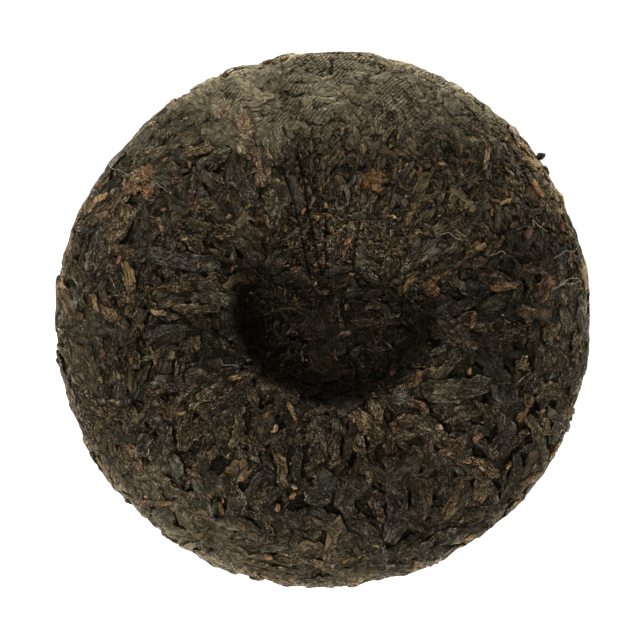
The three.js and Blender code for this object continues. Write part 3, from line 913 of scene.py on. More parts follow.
# The noises that the grain is made of: how each is stretched along and across the leaf, its scale,
# detail, roughness and distortion, and which span of it becomes which values. For the last three,
# thin lines run where the noise passes its middle.
grainNoises = {
    "fibre": ((0.3, 1.5), (1.0, 2.0, 0.6, 0.5), (0.3, 0.7, -1, 1)),
    "speck": ((1, 1), (2.1, 1.5, 0.8), (0.36, 0.64, -1, 1)),
    "spots": ((1, 1), (2.4, 1.0, 0.6), (0.56, 0.66, 0, 0.75)),
    "patches": ((1, 1), (0.3, 1.0), (0.44, 0.62, 0, 0.9)),
    "broad": ((1, 1), (0.3, 2.0, 0.5), (0.3, 0.7, -0.4, 0.4)),
    "warm": ((1, 1), (0.55, 3.0, 0.6), (0.5, 0.72, 0, 1)),
    "curls": ((0.42, 1), (0.85, 1.0, 0.6, 0.8), (0, 0.07, 1, 0)),
    "wide": ((0.45, 1), (0.4, 1.0, 0.5, 0.9), (0.01, 0.08, 1, 0)),
    "thin": ((0.5, 1), (0.8, 1.0, 0.5, 0.7), (0, 0.07, 0.8, 0)),
}
grainLines = ("curls", "wide", "thin")
grainRelief = {"fibre": 0.5, "speck": 0.35, "glint": 0.7}


# Fibres along the leaf, fine speckle and thin creases, with painted shade in the creases. Glint is a
# painted highlight where curly wrinkles and specks would catch the light, and Warmth is where the
# leaf has browned.
def buildLeafGrain():
    strengths = ("Fibres", "Speckle", "Wrinkles", "Creases")
    inputs = {"Place": None, "Grit": 1.0, **{name: 0.5 for name in strengths}}
    group, given, put = newGroup("leafGrain", inputs, ["Shade", "Glint", "Relief", "Warmth"])
    grit = given["Grit"]
    part = {}
    for name, (lengths, settings, span) in grainNoises.items():
        value = noise(group, combine(group, "MULTIPLY", given["Place"], (*lengths, 1)), *settings)
        if name in grainLines:
            value = calculate(group, "ABSOLUTE", calculate(group, "SUBTRACT", value, 0.5))
        part[name] = remap(group, value, *span)
    fibre = multiply(group, part["fibre"], given["Fibres"], grit)
    speck = multiply(group, part["speck"], given["Speckle"], grit)
    crease = calculate(group, "MAXIMUM", part["wide"], multiply(group, part["thin"], grit))
    crease = multiply(group, crease, given["Creases"])
    kept = calculate(group, "SUBTRACT", 1.0, crease)
    curls = multiply(group, part["curls"], part["patches"])
    spots = multiply(group, part["spots"], given["Speckle"])
    glint = calculate(group, "MAXIMUM", curls, spots)
    glint = multiply(group, glint, given["Wrinkles"], grit, kept)
    varied = calculate(group, "ADD", calculate(group, "ADD", fibre, speck), part["broad"])
    relief = multiply(group, fibre, grainRelief["fibre"])
    relief = calculate(group, "MULTIPLY_ADD", speck, grainRelief["speck"], relief)
    relief = calculate(group, "MULTIPLY_ADD", glint, grainRelief["glint"], relief)
    feed(group, put, {
        "Shade": multiply(group, calculate(group, "POWER", 2.0, varied), kept), "Glint": glint,
        "Relief": calculate(group, "SUBTRACT", relief, crease), "Warmth": part["warm"]})
    return group


# The weave of the pressing cloth, printed as fine slanting ripples in patches.
clothWeave = {"pitch": 1.3, "patch": 0.05, "patchFrom": 0.46, "patchTo": 0.6, "bend": 9.0,
              "bendScale": 0.16, "threads": [((0.76, -0.62, 0.5), 0.7), ((0.62, 0.76, 0.5), 0.3)]}


def buildClothPrint():
    group, given, put = newGroup("clothPrint", {"Place": None, "Depth": 0.5}, ["Ripple"])
    place = given["Place"]
    waves = []
    for direction, share in clothWeave["threads"]:
        turn = [value * 2 * math.pi / clothWeave["pitch"] for value in direction]
        across = combine(group, "DOT_PRODUCT", place, turn, output="Value")
        bend = noise(group, place, clothWeave["bendScale"], 1.0)
        across = calculate(group, "MULTIPLY_ADD", bend, clothWeave["bend"], across)
        waves.append(multiply(group, calculate(group, "SINE", across), share))
    weave = calculate(group, "ADD", *waves)
    patch = noise(group, place, clothWeave["patch"], 2.0)
    patch = remap(group, patch, clothWeave["patchFrom"], clothWeave["patchTo"], 0.0, 1.0)
    feed(group, put, {"Ripple": multiply(group, weave, multiply(group, patch, given["Depth"]))})
    return group


# Dust and tea powder, with painted sheen where the film is: thick where the film attribute says,
# thin and patchy elsewhere.
def buildDustAndSheen():
    group, given, put = newGroup("dustAndSheenFilm", {"Place": None, "FilmAndSheen": 0.0, "Thin": 0.1}, ["Mask"])
    cloud = remap(group, noise(group, given["Place"], 0.45, 4.0, 0.65), 0.3, 0.7, 0.4, 1)
    amount = calculate(group, "ADD", given["FilmAndSheen"], given["Thin"])
    feed(group, put, {"Mask": calculate(group, "MULTIPLY", cloud, amount, clamp=True)})
    return group


# Without inputs, the finish is left to be joined up later.
def newMaterial(name, inputs=None):
    material = bpy.data.materials.new(name)
    material.use_nodes = True
    feed(material.node_tree, material.node_tree.nodes["Principled BSDF"], inputs or {})
    return material


groups = {"grain": buildLeafGrain(), "cloth": buildClothPrint(), "dustAndSheen": buildDustAndSheen()}


def useGroup(tree, name, inputs):
    return addNode(tree, "ShaderNodeGroup", inputs, node_tree=groups[name]).outputs


def readAttribute(tree, name, output):
    return addNode(tree, "ShaderNodeAttribute", attribute_name=name).outputs[output]


# The finish of dried leaf. Its colour comes from each leaf's tone attribute, is browned in patches,
# and is shaded by grain, painted shade in the gaps, painted light and shade from an attribute, and
# the cloth's print. Painted glints, and powder with painted sheen, lie over it.
def makeLeafMaterial(name, finish):
    material = newMaterial(name)
    tree = material.node_tree
    geometry = addNode(tree, "ShaderNodeTexCoord").outputs["Object"]
    where = combine(tree, "MULTIPLY", geometry, [1 / mm] * 3)
    place = readAttribute(tree, "leafPlace", "Vector")
    grit, filmAndSheen, sunk, pale = [readAttribute(tree, label, "Fac")
                              for label in ("grit", "filmAndSheen", "sunk", "pale")]
    tone = combine(tree, "MULTIPLY", readAttribute(tree, "tone", "Color"), finish["tint"])
    grain = useGroup(tree, "grain", {
        "Place": place, "Grit": grit, "Fibres": finish["fibres"], "Speckle": finish["speckle"],
        "Wrinkles": finish["wrinkles"], "Creases": finish["creases"]})
    printed = calculate(tree, "MULTIPLY_ADD", filmAndSheen, finish["clothOnFilm"], finish["cloth"])
    ripple = useGroup(tree, "cloth", {"Place": where, "Depth": printed})["Ripple"]
    dustAndSheen = useGroup(tree, "dustAndSheen", {"Place": where, "FilmAndSheen": filmAndSheen, "Thin": finish["thinDust"]})
    # Painted shade in the gaps between leaves.
    paintedGapShade = remap(tree, sunk, *finish["gapSpan"], 1.0, finish["gapShade"])
    # Painted light and shade from the attribute, as a factor.
    toneAndPaintedLight = calculate(tree, "POWER", 2.0, multiply(tree, pale, finish["paintedLightGain"]))
    rippled = calculate(tree, "MULTIPLY_ADD", ripple, finish["clothShade"], 1.0)
    shade = multiply(tree, grain["Shade"], paintedGapShade, toneAndPaintedLight, rippled)
    warmth = multiply(tree, grain["Warmth"], finish["warmth"])
    warmed = blend(tree, warmth, tone, combine(tree, "MULTIPLY", tone, finish["warmTint"]))
    # Painted glints: a pale colour where wrinkles and specks would catch the light.
    glintTone, glintColour = [finish["glintTone"]] * 3, linear(*finish["glintColour"])
    glow = combine(tree, "MULTIPLY_ADD", tone, glintTone, glintColour)
    bright = scaled(tree, glow, multiply(tree, toneAndPaintedLight, paintedGapShade))
    glint = calculate(tree, "MULTIPLY", grain["Glint"], 1.0, clamp=True)
    withPaintedGlints = blend(tree, glint, scaled(tree, warmed, shade), bright)
    # Powder colour: dust, with painted sheen where the film is.
    lit = calculate(tree, "MULTIPLY_ADD", shade, finish["dustOverShade"], rippled)
    powderAndSheen = scaled(tree, linear(*finish["dustAndSheenColour"]), lit)
    dustAndSheenAmount = multiply(tree, dustAndSheen["Mask"], finish["dustAndSheenShare"], paintedGapShade)
    relief = calculate(tree, "MULTIPLY_ADD", ripple, finish["clothRise"], grain["Relief"])
    bump = {"Strength": 1.0, "Distance": finish["bump"] * mm, "Height": relief}
    feed(tree, tree.nodes["Principled BSDF"], {
        "Base Color": blend(tree, dustAndSheenAmount, withPaintedGlints, powderAndSheen),
        "Roughness": remap(tree, noise(tree, place, 0.9, 2.0), 0.3, 0.7, *finish["roughness"]),
        "Normal": addNode(tree, "ShaderNodeBump", bump).outputs[0],
        "Specular IOR Level": finish["specular"],
        "Specular Tint": (*finish["specularTint"], 1)})
    return material


leafFinish = {
    "tint": (0.785, 0.716, 0.612), "specular": 0.12, "specularTint": (1.0, 0.87, 0.55),
    "roughness": (0.42, 0.72), "fibres": 0.45, "speckle": 1.22, "wrinkles": 1.12, "creases": 0.92,
    "glintColour": (125, 117, 103), "glintTone": 3.2, "warmth": 0.31, "warmTint": (1.45, 1.2, 0.93),
    "cloth": 0.1, "clothOnFilm": 1.7, "clothRise": 0.7, "clothShade": 0.45, "bump": 0.7,
    "gapShade": 0.08, "gapSpan": (0.02, 0.42), "thinDust": 0.05, "dustAndSheenShare": 0.8,
    "dustOverShade": 0.6, "dustAndSheenColour": (137, 127, 102), "paintedLightGain": 1.0,
}
leafSkin = makeLeafMaterial("leafSkin", leafFinish)
crumbSkin = makeLeafMaterial("crumbSkin", {**leafFinish, "fibres": 0.5, "speckle": 1.3,
                                           "gapShade": 0.14})
budSkin = makeLeafMaterial("budSkin", {**leafFinish, "tint": (0.76, 0.75, 0.72), "creases": 0.6,
                                       "fibres": 0.9, "speckle": 1.1, "wrinkles": 0.7,
                                       "glintTone": 2.0, "warmth": 0.3, "cloth": 0.0, "thinDust": 0.0,
                                       "dustAndSheenShare": 0.2, "gapShade": 0.35, "paintedLightGain": 0.6})
coreSkin = makeLeafMaterial("coreSkin", {**leafFinish, "creases": 0.6, "roughness": (0.6, 0.85)})
print("materials ready")

# The leaves that stand out in the photo, where they lie: tone, pixel across and down, length and
# width in millimetres, heading and bend in degrees, and how bright they are against their tone.
leafSpots = [
    ("slate", 180, 261, 36, 8, -4, 6, 1), ("brown", 187, 287, 29, 5.6, 11, 8, 1.3),
    ("greenGrey", 206, 299, 12, 4.8, -14, 0, 1.3), ("brown", 198, 309, 21, 5.2, -2, 0, 1.05),
    ("slate", 168, 330, 18, 4.8, 13, 8, 0.9), ("redBrown", 192, 341, 9, 5.6, -6, 0, 1.1),
    ("brown", 137, 304, 12, 6, 52, 20, 1.15), ("oliveBrown", 136, 334, 10, 4, 74, 40, 1.15),
    ("oliveBrown", 80, 372, 25, 9, -62, -8, 1.1), ("brown", 130, 251, 16, 6.2, -2, 10, 1.05),
    ("violetGrey", 173, 380, 15, 4.8, -14, -12, 1), ("violetGrey", 200, 367, 8, 2.4, 64, 0, 1.2),
    ("slate", 123, 391, 10, 6.4, 80, 0, 1.1), ("slate", 158, 421, 12, 6.2, -62, 0, 1.15),
    ("brown", 186, 427, 20, 7.2, 84, 8, 1.05), ("oliveBrown", 170, 443, 16, 3.2, 80, 10, 1.2),
    ("violetGrey", 147, 443, 10, 6.4, 64, 0, 1.1), ("slate", 177, 464, 11, 5.8, -58, 0, 1.1),
    ("slate", 122, 462, 12, 9.6, 36, 0, 1.1), ("slate", 165, 516, 11, 8.4, 20, 0, 1),
    ("tan", 203, 480, 17, 3.4, -48, -26, 0.75), ("brown", 281, 466, 18, 4.8, -76, 0, 1.15),
    ("nearBlack", 297, 463, 15, 4.8, 88, 0, 1.2), ("slate", 322, 487, 17, 11, 64, 0, 1),
    ("greenGrey", 345, 497, 16, 9, 100, 0, 0.95), ("violetGrey", 398, 499, 38, 9, 88, 46, 0.95),
    ("tan", 366, 424, 17, 8.4, -44, -10, 0.8), ("redBrown", 402, 422, 12, 6.6, 24, 0, 1.35),
    ("oliveBrown", 408, 447, 10, 4.4, -28, 0, 1.25), ("oliveBrown", 335, 438, 18, 5.2, 88, 0, 1),
    ("nearBlack", 350, 440, 16, 4.4, 80, 0, 1.1), ("oliveBrown", 435, 430, 21, 6.2, -44, 8, 1.2),
    ("greenGrey", 476, 429, 11, 4.4, -6, 0, 1), ("violetGrey", 503, 428, 13, 8, 80, 0, 1),
    ("brown", 489, 488, 15, 4.8, -54, 0, 1.1), ("brown", 533, 427, 13, 5.6, -62, -14, 1.35),
    ("greenGrey", 556, 430, 13, 6.2, 70, 0, 0.95), ("violetGrey", 434, 250, 12, 10.4, 40, 0, 1.1),
    ("greenGrey", 564, 328, 19, 5.4, 94, 8, 1.1), ("slate", 581, 318, 20, 6, 92, 6, 1.15),
    ("brown", 547, 393, 13, 8.4, 26, 0, 1.1), ("greenGrey", 456, 389, 31, 10, 6, 10, 1.1),
    ("nearBlack", 516, 475, 21, 4.8, 97, 12, 0.95), ("nearBlack", 502, 478, 7, 4, 100, 0, 0.45),
    ("slate", 108, 168, 26, 6.4, 50, -6, 1.1), ("violetGrey", 143, 145, 14, 5, 52, 0, 1.15),
    ("stone", 154, 125, 8, 2.6, -20, -40, 1), ("stone", 201, 95, 9, 2.2, 8, -60, 0.95),
    ("greenGrey", 222, 138, 15, 12, 30, 0, 1.2), ("brown", 121, 222, 14, 12, 70, 60, 0.95),
    ("brown", 168, 224, 14, 9, 0, 0, 0.85), ("greenGrey", 304, 91, 10, 4.6, -8, 0, 1.2),
    ("slate", 322, 117, 10, 7.2, 10, 0, 1.1), ("slate", 295, 193, 15, 5.6, -80, 0, 0.9),
    ("greenGrey", 379, 80, 9, 4.2, 20, 0, 1.4), ("greenGrey", 454, 108, 8, 6.6, 50, 0, 1),
    ("oliveBrown", 474, 110, 22, 4.4, -52, -20, 1.3), ("slate", 497, 150, 12, 5, -58, 0, 0.9),
    ("violetGrey", 476, 208, 12, 6.2, 20, 0, 1.1), ("greenGrey", 274, 262, 9, 7, 40, 0, 1),
    ("slate", 284, 278, 10, 7.4, 0, 0, 1), ("slate", 356, 292, 10, 5.4, 14, 0, 1),
    ("violetGrey", 357, 352, 9, 3.4, 38, 0, 1.4), ("greenGrey", 372, 277, 8, 5, 150, 0, 1.3),
]
namedLeaves = []
namedLevel, namedCrumple = 0.45, 0.2
leafLabels = ("tone", "x", "y", "length", "width", "heading", "bend", "shade", "level", "crumple")
for tone, pixelX, pixelY, length, width, heading, bend, shade in leafSpots:
    x, y = photoPlace(pixelX, pixelY)
    row = (tone, x, y, length, width, heading, bend, shade, namedLevel, namedCrumple)
    namedLeaves.append(dict(zip(leafLabels, row)))

# Small leaves that lie round the print of the knot.
knotLeaves = {"count": 9, "seed": 31, "out": 5.2, "outSpan": (0.9, 1.3), "stray": 0.4,
              "length": 8.0, "lengthSpan": (0.8, 1.2), "width": 3.6, "bend": (-15, 15),
              "shade": (0.9, 1.3), "level": 0.2,
              "tones": ["nearBlack", "slate", "redBrown", "violetGrey", "brown"]}


def addKnotLeaves():
    draw = np.random.default_rng(knotLeaves["seed"])
    tones, count = knotLeaves["tones"], knotLeaves["count"]
    for index in range(count):
        side = (index + knotLeaves["stray"] * draw.random()) * 2 * math.pi / count
        out = knotLeaves["out"] * draw.uniform(*knotLeaves["outSpan"])
        x, y = knot["x"] + out * math.cos(side), knot["y"] + out * math.sin(side)
        length = knotLeaves["length"] * draw.uniform(*knotLeaves["lengthSpan"])
        bend, shade = draw.uniform(*knotLeaves["bend"]), draw.uniform(*knotLeaves["shade"])
        row = (tones[index % len(tones)], x, y, length, knotLeaves["width"], side / degree, bend,
               shade, knotLeaves["level"], namedCrumple)
        namedLeaves.append(dict(zip(leafLabels, row)))


addKnotLeaves()


# Where a listed leaf lies, all but a few others keep off.
keepOff = {"within": 0.8, "left": 0.04}


def keepOffNamed(points):
    free = np.ones(len(points))
    for leaf in namedLeaves:
        fromX, fromY = points[:, 0] - leaf["x"], points[:, 1] - leaf["y"]
        turn = leaf["heading"] * degree
        ahead = fromX * math.cos(turn) + fromY * math.sin(turn)
        aside = fromY * math.cos(turn) - fromX * math.sin(turn)
        bow = 0.5 * leaf["bend"] * degree / leaf["length"]
        aside = aside - bow * (ahead ** 2 - leaf["length"] ** 2 / 12)
        reach = (2 * ahead / leaf["length"]) ** 4 + (2 * aside / leaf["width"]) ** 2
        isOver = (reach < keepOff["within"]) & isTop(points)
        free = np.where(isOver, keepOff["left"], free)
    return free


# The share of each tone in most kinds of leaf.
darkMix = {"oliveBrown": 0.34, "brown": 0.20, "slate": 0.14, "nearBlack": 0.16, "greenGrey": 0.08,
           "redBrown": 0.05, "violetGrey": 0.05, "tan": 0.01, "stone": 0.015}


# What share of the drawn leaves stays at a place, by how fine the cake is there and how deep in the
# knot's hollow it lies. Whole leaves are few in both. The underside has fewer of every kind.
undersideTop = 4


def shareOf(onUnderside, share):
    def keepShare(points):
        kept = np.where(points[..., 2] < undersideTop, onUnderside, 1.0)
        return share(fineness(points), inHollow(points)) * kept * keepOffNamed(points)
    return keepShare


wholeLeafShare = shareOf(0.5, lambda fine, deep: (1 - 0.94 * fine) * (1 - 0.85 * deep))
smallLeafShare = shareOf(0.3, lambda fine, deep: np.maximum(0.5 + 0.5 * fine, 0.7 * deep))
crumbShare = shareOf(0.12, lambda fine, deep: np.maximum(0.12 + 0.88 * fine, 0.9 * deep))


def topShare(points):
    return isTop(points) * 1.0


# The values that kinds of leaf have in common. Listed leaves wider than this many millimetres are
# broad ones, and the others are rolled.
anyLeaf = {"mostlySmall": 1.3, "cellStretch": 3.0, "fillDepth": 0, "skew": (0.7, 1.4), "wiggle": 0.1,
           "tones": darkMix, "toneSpread": 0.28}
broadFrom = 5.5
broadLeaves = {
    **anyLeaf, "count": 500, "seed": 21, "rows": 11, "columns": 11, "keepShare": wholeLeafShare,
    "named": [leaf for leaf in namedLeaves if leaf["width"] > broadFrom], "mostlySmall": 1.2,
    "cellStretch": 2.0, "length": (9, 26), "width": (5.5, 11), "bend": (-35, 35),
    "level": (-0.7, 0.4), "crown": (0.05, 0.3), "folds": (1, 4.5), "foldDepth": (-0.3, 0.3),
    "foldDrift": (-1.3, 1.3), "lean": (-0.3, 0.3), "dive": (0.8, 1.3), "blunt": (0.12, 0.4),
    "skew": (0.75, 1.3), "crumple": (0.12, 0.3), "shear": (-0.35, 0.35), "ragged": 0.22,
    "wiggle": 0.07, "warp": 0.8, "flatTo": 0.8, "cap": 0.6, "toneSpread": 0.26,
}
rolledLeaves = {
    **anyLeaf, "count": 740, "seed": 22, "rows": 11, "columns": 9, "keepShare": wholeLeafShare,
    "named": [leaf for leaf in namedLeaves if leaf["width"] <= broadFrom], "mostlySmall": 1.2,
    "length": (9, 26), "width": (3.2, 6.6), "bend": (-42, 42), "level": (-0.6, 0.5),
    "crown": (0.2, 0.6), "folds": (0.8, 2.8), "foldDepth": (-0.34, 0.34), "foldDrift": (-1, 1),
    "lean": (-0.35, 0.35), "dive": (0.9, 1.4), "blunt": (0.15, 0.5), "skew": (0.75, 1.3),
    "crumple": (0.1, 0.26), "shear": (-0.4, 0.4), "ragged": 0.22, "wiggle": 0.09, "warp": 0.75,
    "flatTo": 0.75, "cap": 0.75,
}
leafStrips = {
    **anyLeaf, "count": 1200, "seed": 23, "rows": 9, "columns": 7, "keepShare": smallLeafShare,
    "mostlySmall": 1.4, "fillDepth": 0.35, "length": (4.5, 13), "width": (1.9, 4.6),
    "bend": (-50, 50), "level": (-0.45, 0.3), "crown": (0.2, 0.55), "folds": (0.6, 2),
    "foldDepth": (-0.26, 0.26), "foldDrift": (-1, 1), "lean": (-0.3, 0.3), "dive": (0.7, 1.1),
    "blunt": (0.15, 0.5), "crumple": (0.08, 0.2), "shear": (-0.45, 0.45), "ragged": 0.25,
    "warp": 0.6, "flatTo": 0.72, "cap": 0.6,
}
leafShreds = {
    **anyLeaf, "count": 3150, "seed": 24, "rows": 5, "columns": 5, "keepShare": smallLeafShare,
    "mostlySmall": 1.4, "cellStretch": 2.4, "fillDepth": 0.6, "length": (2.2, 6),
    "width": (1.3, 3), "bend": (-60, 60), "level": (-0.5, 0.25), "crown": (0.15, 0.4),
    "folds": (0.5, 1.5), "foldDepth": (-0.2, 0.2), "foldDrift": (-0.8, 0.8), "lean": (-0.25, 0.25),
    "dive": (0.5, 0.8), "blunt": (0.15, 0.6), "crumple": (0.05, 0.15), "shear": (-0.45, 0.45),
    "ragged": 0.28, "warp": 0.55, "flatTo": 0.66, "cap": 0.5, "toneSpread": 0.34,
    "tones": {**darkMix, "tan": 0.03, "stone": 0.04},
}
leafCrumbs = {
    **anyLeaf, "count": 7100, "seed": 25, "rows": 3, "columns": 3, "keepShare": crumbShare,
    "cellStretch": 1.6, "fillDepth": 0.6, "length": (1.3, 3.4), "width": (1, 2.3),
    "bend": (-40, 40), "level": (-0.4, 0.2), "crown": (0.1, 0.3), "folds": (0, 1),
    "foldDepth": (0, 0), "foldDrift": (-0.4, 0.4), "lean": (-0.2, 0.2), "dive": (0.35, 0.6),
    "blunt": (0.2, 0.9), "crumple": (0, 0.1), "shear": (-0.4, 0.4), "ragged": 0.3, "warp": 0.4,
    "flatTo": 0.3, "cap": 0.45, "toneSpread": 0.42,
    "tones": {**darkMix, "tan": 0.05, "stone": 0.06, "caramel": 0.015, "rust": 0.012},
}
grownPieces = {}


def growKind(name, kind, draw, named, material):
    leaves = drawLeaves(kind, draw)
    if named:
        leaves = addNamed(leaves, named, kind)
    grownPieces[name] = (growLeaves(leaves, kind, draw), material)


for pieceName, kind, material in [
        ("broad_leaves", broadLeaves, leafSkin), ("rolled_leaves", rolledLeaves, leafSkin),
        ("leaf_strips", leafStrips, leafSkin), ("leaf_shreds", leafShreds, crumbSkin),
        ("leaf_crumbs", leafCrumbs, crumbSkin)]:
    draw = np.random.default_rng(kind["seed"])
    growKind(pieceName, kind, draw, kind.get("named"), material)
print("leaves laid")

# The pressed leaf mass below the loose leaves: a polar net all round the skin, sunk under it.
# Gap shade is painted on the core where it shows between the leaves, less where the cake is fine.
core = {"spokes": 400, "topRings": 84, "underRings": 22, "sink": 0.95, "fineSink": 0.4,
        "relief": 0.35, "reliefSize": 1.6, "coarse": 0.3, "coarseSize": 4.0,
        "tone": 0.7, "fineTone": 0.4, "paintedGapShade": 0.2, "fineGaps": 0.18, "sheetHalf": 0.49}


def makeCore():
    spokes, rings = core["spokes"], core["topRings"] + core["underRings"]
    along = np.concatenate([[0], np.cumsum(np.hypot(np.diff(bandRadius), np.diff(bandHeight)))])
    waistAlong = along[len(along) // 2]
    over = np.linspace(0, waistAlong, core["topRings"] + 1)[1:]
    under = np.linspace(waistAlong, along[-1], core["underRings"] + 2)[1:-1]
    stops = np.concatenate([over, under])
    radius, height = [np.interp(stops, along, band)[:, None] for band in (bandRadius, bandHeight)]
    angle = np.linspace(0, 2 * math.pi, spokes, endpoint=False)
    angle = angle[None] + 0.5 * (np.arange(rings) % 2)[:, None] * angle[1]
    net = pressedPlace(radius, height, angle).reshape(-1, 3)
    poles = np.array([[0, 0, cakeForm["waist"] + cakeForm["topRise"]], [0, 0, 0.0]])
    poles[0, 2] -= pressedDepth(poles[:1, 0], poles[:1, 1])[0]
    points, normal = settle(np.concatenate([poles[:1], net, poles[1:]]))
    rough = core["relief"] * swirl(points, core["reliefSize"], 12)
    rough = rough + core["coarse"] * swirl(points, core["coarseSize"], 13) + heave(points)
    sink = core["sink"] + (core["fineSink"] - core["sink"]) * fineOrDeep(points)
    points = keepInside(points + normal * (rough - sink)[:, None])
    row = np.arange(spokes)
    after = (row + 1) % spokes
    last, bottom = 1 + (rings - 1) * spokes, 1 + rings * spokes
    faces = [np.stack([0 * row, 1 + row, 1 + after], -1)]
    for ring in range(rings - 1):
        near, far = 1 + ring * spokes, 1 + (ring + 1) * spokes
        faces.append(np.stack([near + row, far + row, far + after], -1))
        faces.append(np.stack([near + row, far + after, near + after], -1))
    faces.append(np.stack([0 * row + bottom, last + after, last + row], -1))
    return points, np.concatenate(faces)


# The top takes the left half of the texture sheet and the underside the right half. Each is
# unrolled from its middle, so that the rim keeps its width.
def coreSheet(points, triangles):
    rings = core["topRings"] + core["underRings"]
    ring = np.concatenate([[0], np.repeat(np.arange(rings) + 1, core["spokes"]), [rings + 1]])
    over = ring / core["topRings"]
    below = (rings + 1 - ring) / (core["underRings"] + 1)
    side = np.arctan2(points[:, 1], points[:, 0])
    isUnder = ring[triangles].mean(1) > core["topRings"]
    reach = np.where(isUnder[:, None], below[triangles], over[triangles])
    across = 0.5 + core["sheetHalf"] * reach * np.cos(side[triangles])
    up = 0.5 + core["sheetHalf"] * reach * np.sin(side[triangles])
    return np.stack([0.5 * across + 0.5 * isUnder[:, None], up], -1)


corePoints, coreTriangles = makeCore()
coreFine = fineOrDeep(corePoints)
coreGrown = {
    "points": corePoints, "triangles": coreTriangles, "leafPlace": corePoints,
    "tone": (core["tone"] + core["fineTone"] * coreFine)[:, None] * leafTones["oliveBrown"],
    "sunk": core["paintedGapShade"] - core["fineGaps"] * coreFine, "pale": 0 * coreFine,
    "grit": np.ones(len(corePoints)), "corners": coreSheet(corePoints, coreTriangles).reshape(-1, 2),
}
grownPieces["pressed_core"] = (coreGrown, coreSkin)
print("core made")

